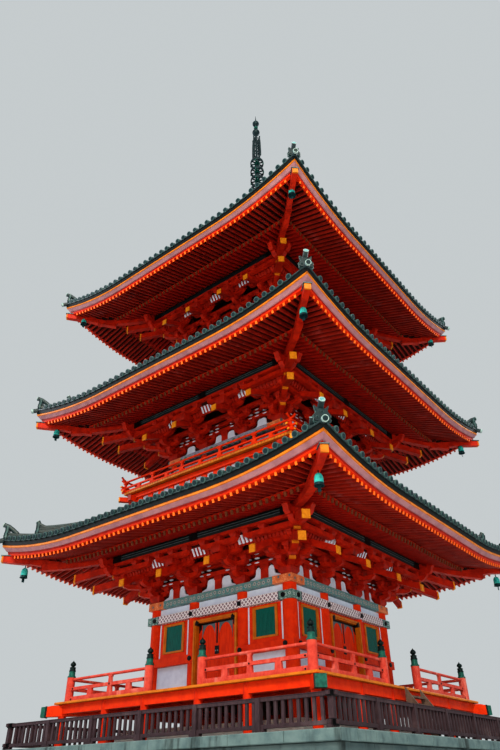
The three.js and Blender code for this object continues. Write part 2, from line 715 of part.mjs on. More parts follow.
function tileOutline(storey, inner) {
  const height = tileHeight(storey, inner);
  const outer = storey.eave + TILES.overhang;
  const seat = storey.strip + EAVES.strip + GAP;
  const innerSeat = storey.eave - EAVES.seat;
  const outline = [[innerSeat, seat], [storey.eave, seat], [outer, seat + TILES.lip]];
  const curb = inner + TILES.curb;
  for (let i = 0; i <= TILES.steps; i += 1) {
    const r = outer + ((curb - outer) * i) / TILES.steps;
    outline.push([r, height(r)]);
  }
  const middle = (inner + innerSeat) / 2;
  outline.push([inner, height(curb)], [inner, height(curb) - TILES.thick]);
  outline.push([middle, height(middle) - TILES.thick]);
  return outline;
}

// The stacked ridge along one hip: a tall upper length, its end tile, and a lower length to the corner
function hipRidge(storey, inner) {
  const height = tileHeight(storey, inner);
  const rise = cornerLift(storey);
  const outer = storey.eave + TILES.overhang;
  const top = (r) => height(r) + rise(r, r);
  const end = inner + (outer - inner) * RIDGE.end;
  const places = RIDGE.places.map((share) => inner + (outer - inner) * share);
  const upper = places.map((r) => [r, top(r) + RIDGE.height]);
  const lower = [...places].reverse().map((r) => [r, top(r) - RIDGE.sink]);
  const body = cornerProfile([...upper, ...lower], RIDGE.width);
  const tall = cornerProfile([
    [end - RIDGE.endLength, top(end) - RIDGE.sink], [end + RIDGE.endFront, top(end) - RIDGE.sink],
    [end + RIDGE.endPeak, top(end) + RIDGE.endHeight], [end - RIDGE.endLength, top(end) + RIDGE.height],
  ], RIDGE.endWidth);
  const corner = outer - RIDGE.corner;
  const tail = cornerProfile([
    [end - RIDGE.tailStart, top(end) - RIDGE.sink], [corner, top(corner) - RIDGE.sink],
    [outer + RIDGE.tip, top(outer) + RIDGE.tipLow], [outer + RIDGE.tip, top(outer) + RIDGE.tipHigh],
    [corner - RIDGE.peak, top(corner) + RIDGE.endHeight], [corner - RIDGE.peakBack, top(corner) + RIDGE.low],
    [end - RIDGE.tailStart, top(end) + RIDGE.low],
  ], RIDGE.tailWidth);
  return join([body, tall, tail]);
}

function tiledRoof(storey, inner) {
  const body = band(tileOutline(storey, inner), cornerLift(storey), STATIONS);
  return body.add(allRound(hipRidge(storey, inner)));
}

// An upper storey's hollow body: board walls, columns, sill, patterned tie and wall plate
function upperWalls(storey, base, sillBottom) {
  const { wall, radius, sillProud, sillHeight, plateProud, tieHeight, frieze } = UPPER;
  const top = storey.plateTop;
  const plateBottom = top - tieHeight;
  const tieTop = plateBottom - frieze;
  const members = [
    ring(storey.column + wall, storey.column - wall, base, top),
    ring(storey.column + sillProud, storey.column, sillBottom, sillBottom + sillHeight),
    ring(storey.column + plateProud, storey.column - wall, plateBottom, top),
    ring(storey.column + plateProud, storey.column, tieTop - tieHeight, tieTop),
    columns(storey, sillBottom + 4 * LAP, plateBottom + LAP, radius, 6),
  ];
  return join(members);
}

function balcony(storey, seat) {
  const inner = storey.column + UPPER.radius + 1;
  const outer = storey.floorHalf;
  const top = storey.floorTop;
  const under = top - BALCONY.edge;
  const beam = outer - BALCONY.beamBack;
  const beamBottom = under - BALCONY.beamDepth;
  return band([
    [inner, seat], [inner + BALCONY.seat, seat],
    [beam - BALCONY.corbel, beamBottom - BALCONY.corbelRise], [beam, beamBottom], [beam, under],
    [outer, under], [outer, top], [inner, top],
  ], level, [-1]);
}

// The open railing round a balcony; its rails cross and run on past the corners
function balconyRailing(storey) {
  const base = storey.floorTop + GAP;
  const line = storey.floorHalf + BALCONY.rail;
  const { baseHeight, midBottom, midHeight, topBottom, topHeight, width, cross, struts } = UPPER_RAIL;
  const around = (z0, height) => ring(line + width / 2, line - width / 2, base + z0, base + z0 + height);
  const members = [around(0, baseHeight), around(midBottom, midHeight)];
  for (const quarters of [0, 1, 2, 3]) {
    const rise = base + topBottom + (quarters % 2) * UPPER_RAIL.lap;
    const long = line + cross;
    const rail = block(-long, long, -line - width / 2, -line + width / 2, rise, rise + topHeight);
    members.push(turned(rail, quarters));
  }
  const quarter = [];
  const half = width / 2 - UPPER_RAIL.strutInset;
  for (let i = 0; i <= struts; i += 1) {
    const x = -line + (2 * line * i) / (struts + 1);
    quarter.push(frontBlock(
      x, half, line - half, line + half, base + UPPER_RAIL.strutFoot, base + UPPER_RAIL.strutTop));
  }
  return join([...members, allRound(join(quarter))]);
}

function storeyGroup(index) {
  const storey = STOREYS[index];
  const above = STOREYS[index + 1];
  const group = new THREE.Group();
  const innerEaves = above ? above.column + UPPER.wall + EAVES.inner : storey.column - BRACKET.wall;
  const innerTiles = above ? above.column + UPPER.sillProud + GAP : ROOF_TOP;
  const wallInside = above ? above.column + UPPER.wall : 0;
  group.add(piece(`${storey.name}_brackets`, brackets(storey, wallInside), 'soffit'));
  group.add(piece(`${storey.name}_eaves`, eaves(storey, innerEaves), 'soffit'));
  group.add(piece(`${storey.name}_roof`, tiledRoof(storey, innerTiles), 'tile'));
  if (index > 0) {
    const below = STOREYS[index - 1];
    const roofInner = storey.column + UPPER.sillProud + GAP;
    const roofTop = tileHeight(below, roofInner)(roofInner + TILES.curb);
    const base = bracketTop(below) + GAP;
    const sillBottom = roofTop - TILES.thick;
    group.add(piece(`${storey.name}_walls`, upperWalls(storey, base, sillBottom), 'vermilion'));
    const seat = sillBottom + UPPER.sillHeight + GAP;
    group.add(piece(`${storey.name}_balcony`, balcony(storey, seat), 'deck'));
    group.add(piece(`${storey.name}_railing`, balconyRailing(storey), 'vermilion'));
  }
  return group;
}

function spireBase(z) {
  const { baseHalf, baseHeight, baseLip, bowlTop, bowlRadius, sides } = SPIRE;
  const box = squareBlock(baseHalf - baseLip, z, z + baseHeight);
  const lip = squareBlock(baseHalf, z + baseHeight - baseLip, z + baseHeight);
  const bowl = turning([
    [0, z + baseHeight - PAST], [bowlRadius, z + baseHeight - PAST], [bowlRadius * 0.92, z + bowlTop * 0.68],
    [bowlRadius * 0.5, z + bowlTop * 0.8], [bowlRadius * 0.85, z + bowlTop], [0, z + bowlTop],
  ], 0, 0, sides);
  return join([box, lip, bowl]);
}

// The pole with its nine rings, each a rim on a thin spoked disc
function spireShaft(z) {
  const { poleRadius, rings, firstRing, pitch, ringRadius, ringThick, sides, flameBottom, hub } = SPIRE;
  const profile = [[0, z], [hub, z], [poleRadius, z + hub]];
  for (let i = 0; i < rings; i += 1) {
    const centre = firstRing + i * pitch;
    const radius = ringRadius * (1 - SPIRE.ringShrink * i);
    profile.push([poleRadius, centre - ringThick / 2], [radius, centre - ringThick / 2]);
    profile.push([radius, centre + ringThick / 2]);
  }
  profile.push([poleRadius * 0.8, flameBottom - GAP], [0, flameBottom - GAP]);
  return turning(profile, 0, 0, sides);
}

function ballProfile(centre, radius) {
  const half = Math.SQRT1_2 * radius;
  return [[half, centre - half], [radius, centre], [half, centre + half]];
}

// Four flame fins on the upper pole, with the two jewels over them
function spireFlame() {
  const { flameBottom, flameTop, flameHalf, flameThick, poleRadius, lowBall, lowBallRadius } = SPIRE;
  const { topBall, topBallRadius, tip } = SPIRE;
  const pole = poleRadius * 0.6;
  const foot = flameBottom + SPIRE.flameFoot;
  const tall = flameTop - flameBottom;
  const fin = frontProfile([
    [0, foot], [flameHalf * 0.55, foot], [flameHalf, flameBottom + tall * 0.3],
    [flameHalf * 0.8, flameBottom + tall * 0.55], [flameHalf * 0.95, flameBottom + tall * 0.75],
    [flameHalf * 0.35, flameTop], [0, flameTop],
  ], flameThick, 0);
  const stem = turning([
    [0, flameBottom], [pole, flameBottom], [pole, lowBall - lowBallRadius],
    ...ballProfile(lowBall, lowBallRadius),
    [pole * 0.8, lowBall + lowBallRadius], [pole * 0.8, topBall - topBallRadius],
    ...ballProfile(topBall, topBallRadius),
    [pole * 0.7, topBall + topBallRadius + SPIRE.spikeFoot], [0, tip],
  ], 0, 0, SPIRE.stemSides);
  return stem.add(allRound(fin));
}

function spireGroup() {
  const group = new THREE.Group();
  const top = tileHeight(STOREYS[2], ROOF_TOP)(ROOF_TOP + TILES.curb) + GAP;
  group.add(piece('spire_base', spireBase(top), 'bronze'));
  group.add(piece('spire_rings', spireShaft(top + SPIRE.bowlTop + GAP), 'bronze'));
  group.add(piece('spire_flame', spireFlame(), 'bronze'));
  return group;
}

const pagoda = new THREE.Group();
pagoda.name = 'pagoda';
pagoda.add(podiumGroup(), fenceGroup(), verandaGroup(), firstBody());
STOREYS.forEach((storey, index) => pagoda.add(storeyGroup(index)));
pagoda.add(spireGroup());

export default pagoda;
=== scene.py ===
import functools
import logging
import math
import random
from collections.abc import Callable, Sequence
from dataclasses import dataclass
from enum import Enum

import bmesh
import bpy
import numpy as np
from mathutils import Matrix, Vector


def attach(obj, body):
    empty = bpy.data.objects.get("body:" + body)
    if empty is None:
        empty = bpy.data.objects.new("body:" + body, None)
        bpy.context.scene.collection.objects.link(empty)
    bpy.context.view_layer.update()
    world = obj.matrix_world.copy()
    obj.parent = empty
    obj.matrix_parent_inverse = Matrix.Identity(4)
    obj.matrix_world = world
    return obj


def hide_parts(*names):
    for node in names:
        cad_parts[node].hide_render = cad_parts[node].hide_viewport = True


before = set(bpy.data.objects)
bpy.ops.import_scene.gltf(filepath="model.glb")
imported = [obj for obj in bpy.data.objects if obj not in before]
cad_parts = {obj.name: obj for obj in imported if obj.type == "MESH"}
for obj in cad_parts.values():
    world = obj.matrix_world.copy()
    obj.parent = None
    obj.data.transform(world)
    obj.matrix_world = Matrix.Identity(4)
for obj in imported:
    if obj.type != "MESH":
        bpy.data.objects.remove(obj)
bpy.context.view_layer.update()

log = logging.getLogger("pagoda")

Span = tuple[float, float]
Point = tuple[float, float, float]
Outline = Sequence[Span]
Tone = tuple[int, int, int]
Rise = Callable[[float, float], float]
Socket = bpy.types.NodeSocket

BUILDING = "building"
CORNERS = ("front_right", "back_right", "back_left", "front_left")
FACES = ("front", "right", "back", "left")
TURNS = ((1, 0), (0, 1), (-1, 0), (0, -1))
ROOT = math.sqrt(0.5)
SMOOTH = 35.0  # edges flatter than this many degrees are shaded round
HAIR = 0.0003  # gap between faces that would lie in one plane
LAP = 0.0008  # lift of the right and left face where timbers cross at a corner


def level(r: float, along: float) -> float:
    """The lift of a piece that runs level to its corners."""
    return 0.0


def linear(tone: Tone) -> tuple[float, float, float, float]:
    """Turns a paint chip of 0 to 255 into the scene's linear colour."""
    parts = [value / 255 for value in tone]
    return (*(p / 12.92 if p <= 0.04045 else ((p + 0.055) / 1.055) ** 2.4 for p in parts), 1.0)


def rect(a: float, b: float, low: float, high: float) -> list[Span]:
    """The four corners of a rectangle, from a to b and from low to high."""
    return [(a, low), (b, low), (b, high), (a, high)]


def about(place: float, half: float) -> Span:
    """The span that reaches half to both sides of a place."""
    return (place - half, place + half)


def circle(count: int, start: float = 0.0) -> list[Span]:
    """Cosine and sine of equal steps round a circle, from that share of a step on."""
    return [(math.cos(math.tau * (i + start) / count), math.sin(math.tau * (i + start) / count)) for i in range(count)]


def quarters(points: Sequence[Point], turns: int) -> list[Point]:
    """Points turned about the axis by that many quarter turns."""
    cos, sin = TURNS[turns]
    return [(cos * x - sin * y, sin * x + cos * y, z) for x, y, z in points]


def skin(rings: int, count: int) -> list[tuple[int, ...]]:
    """The faces between rings of equal count."""
    return [(i + j, i + (j + 1) % count, i + count + (j + 1) % count, i + count + j)
            for i in range(0, (rings - 1) * count, count) for j in range(count)]


# ---------------------------------------------------------------- finishes


class NodeTree:
    """A tree whose nodes are added one by one, each with its inputs."""

    def __init__(self, tree: bpy.types.NodeTree) -> None:
        """Keeps the tree."""
        self.tree = tree

    def feed(self, target: Socket, value: object) -> None:
        """Links a socket into target, or writes a plain value on it.

        Args:
            target: The input that is filled.
            value: A socket, or a plain value of the input's kind.
        """
        if isinstance(value, Socket):
            self.tree.links.new(value, target)
        else:
            target.default_value = value

    def node(self, kind: str, inputs: dict[str | int, object] | None = None, **settings: object) -> bpy.types.Node:
        """Adds a node.

        Args:
            kind: Blender's name of the node.
            inputs: A socket or a plain value for each input, by its name or number.
            settings: Properties of the node, which are set first.

        Returns:
            The new node.
        """
        made = self.tree.nodes.new(kind)
        for key, value in settings.items():
            setattr(made, key, value)
        for key, value in (inputs or {}).items():
            self.feed(made.inputs[key], value)
        return made


class Recipe(NodeTree):
    """The node tree of one material."""

    def __init__(self, name: str) -> None:
        """Starts a tree with a shader and its output.

        Args:
            name: Name of the material.
        """
        self.material = bpy.data.materials.new(name)
        self.material.use_nodes = True
        super().__init__(self.material.node_tree)
        self.tree.nodes.clear()
        self.shader = self.node("ShaderNodeBsdfPrincipled")
        self.node("ShaderNodeOutputMaterial", {"Surface": self.shader.outputs["BSDF"]})
        self.place = self.node("ShaderNodeTexCoord").outputs

    def mapped(self, scale: Point, turn: float = 0.0, face: bool = False) -> Socket:
        """Object coordinates, or the face's own metres, scaled and turned.

        Args:
            scale: Scale along each axis.
            turn: Turn about the third axis, in radians.
            face: True for the piece's UV map, which holds metres across and up each face.

        Returns:
            The mapped vector.
        """
        source = self.place["UV" if face else "Object"]
        inputs = {"Scale": scale, "Rotation": (0.0, 0.0, turn), "Vector": source}
        return self.node("ShaderNodeMapping", inputs).outputs["Vector"]

    def noise(self, scale: float, stretch: Point = (1, 1, 1), detail: float = 4.0) -> Socket:
        """A noise between 0 and 1 over the object's own metres."""
        inputs = {"Scale": scale, "Detail": detail, "Roughness": 0.6, "Vector": self.mapped(stretch)}
        return self.node("ShaderNodeTexNoise", inputs).outputs["Fac"]

    def window(self, value: Socket, low: float, high: float) -> Socket:
        """Value spread so that low becomes 0 and high becomes 1, held between them."""
        inputs = {"From Min": low, "From Max": high, "Value": value}
        return self.node("ShaderNodeMapRange", inputs, interpolation_type="SMOOTHSTEP").outputs["Result"]

    def math(self, operation: str, first: Socket, second: object = 0.0) -> Socket:
        """One step of arithmetic on sockets or plain numbers."""
        return self.node("ShaderNodeMath", {0: first, 1: second}, operation=operation).outputs["Value"]

    def blend(self, share: Socket, first: Socket | Tone, second: Socket | Tone) -> Socket:
        """Mixes two colours, each a socket or a chip, by the share of the second."""
        colours = (linear(colour) if isinstance(colour, tuple) else colour for colour in (first, second))
        return self.node("ShaderNodeMix", dict(zip((0, 6, 7), (share, *colours))), data_type="RGBA").outputs[2]


@dataclass(frozen=True)
class Finish:
    """A weathered finish: two tones, worn or dirty patches, and a fine relief; on the flying rafters the patches are a
    painted sheen.
    """

    tone: Tone
    other: Tone
    # tone of the worn and dirty patches; on the flying rafters it is a painted sheen
    worn: Tone
    wear: float = 0.35
    grain: float = 5.0
    stretch: Point = (1, 1, 1)
    roughness: float = 0.55
    metallic: float = 0.0
    relief: float = 0.35
    fine: float = 60.0
    streaks: float = 0.0
    shine: float = 0.22
    grain_window: Span = (0.35, 0.68)
    patch_scale: float = 1.3
    patch_share: float = 0.75
    patch_reach: float = 0.4
    patch_window: Span = (0.72, 0.86)
    streak_scale: float = 3.2
    streak_stretch: Point = (1.0, 1.0, 0.12)
    streak_window: Span = (0.52, 0.72)
    duller: float = 0.16
    glossier: float = 0.12
    relief_depth: float = 0.006

    def pattern(self, recipe: Recipe) -> Socket:
        """The clean colour, two tones mixed by a stretched grain."""
        grain = recipe.window(recipe.noise(self.grain, self.stretch), *self.grain_window)
        return recipe.blend(grain, self.tone, self.other)

    def material(self, name: str) -> bpy.types.Material:
        """Builds the material.

        Args:
            name: Name of the material.

        Returns:
            The finished material.
        """
        recipe = Recipe(name)
        start, end = self.patch_window
        patches = recipe.window(recipe.noise(self.patch_scale, detail=8.0), start - self.wear * self.patch_reach, end)
        colour = recipe.blend(recipe.math("MULTIPLY", patches, self.patch_share), self.pattern(recipe), self.worn)
        if self.streaks:
            runs = recipe.window(recipe.noise(self.streak_scale, self.streak_stretch, 6.0), *self.streak_window)
            colour = recipe.blend(recipe.math("MULTIPLY", runs, self.streaks), colour, self.worn)
        fine = recipe.noise(self.fine, self.stretch, 3.0)
        low, high = max(0.05, self.roughness - self.glossier), min(1.0, self.roughness + self.duller)
        gloss = recipe.node("ShaderNodeMapRange", {"To Min": low, "To Max": high, "Value": fine})
        bump = recipe.node(
            "ShaderNodeBump", {"Strength": self.relief, "Distance": self.relief_depth, "Height": fine})
        for socket, value in (
            ("Base Color", colour), ("Roughness", gloss.outputs["Result"]), ("Metallic", self.metallic),
            ("Specular IOR Level", self.shine), ("Normal", bump.outputs["Normal"]),
        ):
            recipe.feed(recipe.shader.inputs[socket], value)
        return recipe.material


@dataclass(frozen=True)
class Lattice(Finish):
    """A painted lozenge lattice, light lines on a darker ground, along a beam."""

    line: Tone = (222, 220, 228)
    dot: Tone = (168, 140, 140)
    pitch: float = 0.094
    rim_window: Span = (0.29, 0.35)
    dot_window: Span = (0.2, 0.14)

    def pattern(self, recipe: Recipe) -> Socket:
        """Lozenges with a flower dot in each, over the beam's own metres.

        Args:
            recipe: The tree that is filled.

        Returns:
            The clean colour.
        """
        across = recipe.mapped((1 / self.pitch, 1 / self.pitch, 1.0), math.pi / 4, face=True)
        cut = recipe.node("ShaderNodeSeparateXYZ", {"Vector": across}).outputs
        edges = [recipe.math("ABSOLUTE", recipe.math("SUBTRACT", recipe.math("FRACT", cut[axis]), 0.5))
                 for axis in "XY"]
        rim = recipe.window(recipe.math("MAXIMUM", *edges), *self.rim_window)
        dot = recipe.window(recipe.math("ADD", *edges), *self.dot_window)
        return recipe.blend(dot, recipe.blend(rim, Finish.pattern(self, recipe), self.line), self.dot)


@dataclass(frozen=True)
class Floral(Finish):
    """A painted beam of pale rounds and curling leaves on a coloured ground."""

    leaf: Tone = (116, 164, 168)
    bloom: Tone = (136, 170, 178)
    heart: Tone = (30, 66, 84)
    cells: float = 7.0
    curls: float = 4.4
    curl_window: Span = (0.62, 0.75)
    bloom_window: Span = (0.36, 0.28)
    heart_window: Span = (0.14, 0.09)

    def pattern(self, recipe: Recipe) -> Socket:
        """Rounds and curling lines over the beam's own metres.

        Args:
            recipe: The tree that is filled.

        Returns:
            The clean colour.
        """
        place = recipe.mapped((1.0, 1.0, 1.0), face=True)
        wave = recipe.node(
            "ShaderNodeTexWave", {"Scale": self.curls, "Distortion": 9.0, "Detail Scale": 3.2, "Vector": place},
            wave_type="RINGS", rings_direction="SPHERICAL")
        cells = recipe.node("ShaderNodeTexVoronoi", {"Scale": self.cells, "Randomness": 0.25, "Vector": place},
                            voronoi_dimensions="2D", feature="F1").outputs["Distance"]
        colour = recipe.blend(
            recipe.window(wave.outputs["Fac"], *self.curl_window), Finish.pattern(self, recipe), self.leaf)
        colour = recipe.blend(recipe.window(cells, *self.bloom_window), colour, self.bloom)
        return recipe.blend(recipe.window(cells, *self.heart_window), colour, self.heart)


class Paint(Enum):
    """Every finish of the pagoda."""

    VERMILION = Finish((208, 50, 3), (188, 38, 2), (132, 28, 5), wear=0.3, shine=0.12)
    # painted light: a lighter copy of the vermilion for the outer timbers that face the light
    BRIGHT = Finish((222, 58, 3), (206, 46, 2), (152, 36, 7), wear=0.25, roughness=0.52, shine=0.12)
    # painted shade: a darker copy of the vermilion for the bracket arms, tails, beams and hip rafters under the eaves
    ARM = Finish((184, 37, 5), (150, 25, 4), (76, 11, 4), wear=0.45, grain=4.0)
    # painted shade: a still darker copy of the vermilion for bearing blocks and ribs deep among the brackets
    BLOCK = Finish((168, 31, 5), (136, 21, 4), (66, 9, 4), wear=0.45, grain=6.0)
    # painted shade: a darker copy of the vermilion for the lower rafters and a soffit board under the eaves
    SOFFIT = Finish((166, 27, 6), (136, 18, 5), (68, 8, 4), wear=0.4, roughness=0.6)
    SHADOW = Finish((56, 6, 4), (42, 5, 3), (20, 3, 3), wear=0.5, roughness=0.75)
    SALMON = Finish((196, 74, 60), (176, 54, 44), (222, 156, 144), wear=0.5, grain=9.0, roughness=0.62, streaks=0.5)
    OCHRE = Finish((200, 118, 20), (178, 98, 14), (116, 66, 18), wear=0.3, roughness=0.5)
    CAP = Finish((230, 152, 34), (212, 130, 22), (150, 88, 22), wear=0.25, grain=12.0, roughness=0.5)
    TIP = Finish((252, 124, 40), (240, 102, 26), (176, 76, 26), wear=0.2, grain=12.0, roughness=0.5)
    # painted shade and painted sheen: a dark copy of the vermilion for the flying rafters, with pale lilac patches for
    # the sky's reflection on them
    FLYING = Finish((150, 34, 18), (122, 22, 10), (172, 104, 106), wear=0.42, grain=2.4, roughness=0.6)
    # painted shade: a dull brown copy of the rafter-end paint for the lower rafters' tips, under the flying rafters
    DULL_TIP = Finish((116, 62, 36), (96, 46, 26), (60, 28, 18), wear=0.45, grain=12.0, roughness=0.6)
    MAUVE = Finish((170, 126, 136), (150, 108, 120), (132, 88, 84), wear=0.4, grain=3.0, roughness=0.65)
    # painted light: the plaster's white is tinted blue to stand in for the cool light of the shade
    WHITE = Finish((208, 222, 246), (196, 210, 236), (160, 164, 180), roughness=0.75, relief=0.2)
    GREEN = Finish((0, 106, 98), (0, 90, 84), (14, 62, 58), wear=0.3, stretch=(6, 6, 1), roughness=0.42)
    GREEN_END = Floral(
        (84, 124, 122), (66, 106, 106), (42, 68, 68), wear=0.3, roughness=0.5, leaf=(116, 152, 150),
        bloom=(156, 180, 182), heart=(40, 76, 78))
    IRON = Finish((17, 19, 23), (28, 30, 34), (54, 50, 48), wear=0.25, roughness=0.42, metallic=0.5)
    GREY_METAL = Finish((88, 102, 110), (108, 122, 128), (52, 62, 66), roughness=0.4, metallic=0.4)
    PLATE = Floral(
        (122, 144, 144), (104, 126, 128), (62, 82, 84), wear=0.3, roughness=0.6, leaf=(60, 134, 146),
        bloom=(152, 158, 160), heart=(44, 100, 112), cells=6.0)
    UPPER_PLATE = Floral(
        (166, 166, 184), (146, 148, 168), (92, 96, 112), wear=0.3, roughness=0.6, leaf=(122, 126, 156),
        bloom=(56, 132, 108), heart=(18, 92, 70), cells=4.0)
    UPPER_TIE = Finish((142, 160, 172), (120, 138, 152), (76, 88, 100), grain=5.0, roughness=0.6)
    SLATE = Finish((44, 44, 62), (32, 34, 50), (84, 86, 104), wear=0.4, grain=6.0, roughness=0.65)
    PLATE_END = Floral(
        (214, 124, 76), (196, 104, 62), (124, 74, 54), wear=0.3, leaf=(220, 146, 102),
        bloom=(196, 108, 66), heart=(92, 112, 120), cells=3.0)
    LATTICE = Lattice((112, 96, 126), (90, 76, 106), (96, 88, 100), wear=0.25)
    PURLIN = Finish((10, 24, 30), (7, 17, 22), (4, 9, 12), wear=0.3, grain=3.0, roughness=0.6)
    FINE_LINE = Finish((96, 112, 118), (76, 92, 100), (44, 56, 62), wear=0.4, grain=9.0, roughness=0.6)
    DOOR = Finish(
        (222, 58, 3), (204, 46, 2), (146, 34, 6), wear=0.3, stretch=(4, 4, 0.6), roughness=0.52, shine=0.12)
    FENCE = Finish((64, 50, 58), (47, 37, 44), (108, 94, 100), wear=0.5, grain=8.0, stretch=(3, 3, 0.8), roughness=0.72)
    GRANITE = Finish(
        (84, 104, 108), (66, 86, 92), (26, 36, 38), wear=0.5, grain=2.2, roughness=0.85, relief=0.6,
        fine=34.0, streaks=0.9)
    COPING = Finish(
        (98, 122, 126), (78, 102, 108), (28, 38, 40), wear=0.4, grain=2.6, roughness=0.85, relief=0.6,
        fine=34.0, streaks=0.95)
    PAVING = Finish((150, 156, 148), (126, 134, 128), (78, 84, 80), wear=0.5, grain=2.0, roughness=0.88, relief=0.6,
                    fine=34.0)
    JOINT = Finish((36, 42, 40), (26, 30, 29), (18, 20, 20), wear=0.4, roughness=0.95)
    PLASTER = Finish(
        (226, 226, 226), (212, 212, 212), (160, 160, 158), wear=0.4, grain=1.8, roughness=0.85, streaks=0.3)
    TILE = Finish(
        (38, 62, 68), (26, 46, 52), (84, 104, 100), wear=0.5, grain=7.0, roughness=0.45, relief=0.4, shine=0.5)
    TILE_DARK = Finish((6, 13, 16), (4, 9, 12), (18, 28, 30), wear=0.3, grain=4.0, roughness=0.6)
    TILE_RIM = Finish((66, 98, 100), (44, 74, 78), (112, 138, 132), wear=0.4, grain=9.0, roughness=0.45, shine=0.5)
    TILE_HEART = Finish((12, 44, 52), (8, 32, 40), (44, 86, 90), wear=0.3, grain=14.0, roughness=0.5)
    RING = Finish((160, 190, 192), (130, 162, 166), (86, 118, 122), grain=9.0, roughness=0.5)
    SHELL = Finish((112, 176, 186), (80, 146, 158), (44, 92, 98), grain=12.0, roughness=0.5)
    BRONZE = Finish((30, 50, 56), (20, 36, 42), (64, 98, 104), wear=0.4, grain=9.0, roughness=0.45, metallic=0.5)
    VERDIGRIS = Finish((34, 104, 94), (24, 80, 74), (20, 42, 42), wear=0.4, grain=12.0, roughness=0.52, metallic=0.3)
    DARK_NECK = Finish((14, 40, 42), (9, 28, 30), (36, 66, 62), wear=0.3, roughness=0.48, metallic=0.3)
    BELL = Finish((62, 190, 186), (36, 156, 156), (24, 84, 90), wear=0.3, grain=10.0, roughness=0.5)
    BELL_SKIRT = Finish((14, 58, 66), (9, 40, 48), (50, 110, 112), wear=0.3, roughness=0.5)
    HOOD = Finish((84, 104, 112), (66, 86, 96), (48, 58, 64), wear=0.4, roughness=0.45, metallic=0.4)
    DECK = Finish((140, 94, 52), (116, 76, 42), (84, 58, 38), wear=0.5, grain=9.0, roughness=0.7)
    STAIR = Finish((104, 90, 82), (84, 70, 64), (58, 50, 46), wear=0.5, grain=8.0, roughness=0.8)
    INNER = Finish((116, 74, 44), (94, 58, 32), (62, 40, 26), wear=0.4, stretch=(1, 8, 1), roughness=0.7)
    FLOOR = Finish((222, 221, 218), (216, 215, 212), (210, 209, 206), wear=0.2, grain=0.4, roughness=0.9)

    def material(self) -> bpy.types.Material:
        """The material of this finish, built once."""
        name = f"finish_{self.name.lower()}"
        return bpy.data.materials.get(name) or self.value.material(name)


# ---------------------------------------------------------------- drawing pieces


def keep(
    name: str, mesh: bpy.types.Mesh, stands_for: Sequence[str], body: str = BUILDING, smooth: float = SMOOTH,
) -> None:
    """Makes a mesh into a piece on its body, in the place of its solids.

    Args:
        name: Name of the piece.
        mesh: Its finished mesh.
        stands_for: Names of the solids that it replaces.
        body: Body that carries it.
        smooth: Edges flatter than this many degrees are shaded round.
    """
    mesh.shade_smooth()
    mesh.set_sharp_from_angle(angle=math.radians(smooth))
    piece = bpy.data.objects.new(name, mesh)
    bpy.context.scene.collection.objects.link(piece)
    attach(piece, body)
    if stands_for:
        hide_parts(*stands_for)
    log.info("%s: %d faces", name, len(mesh.polygons))


def dress(node: str, paint: Paint) -> None:
    """Gives a carried-over solid its finish."""
    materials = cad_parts[node].data.materials
    materials.clear()
    materials.append(paint.material())
    log.info("%s: dressed", node)


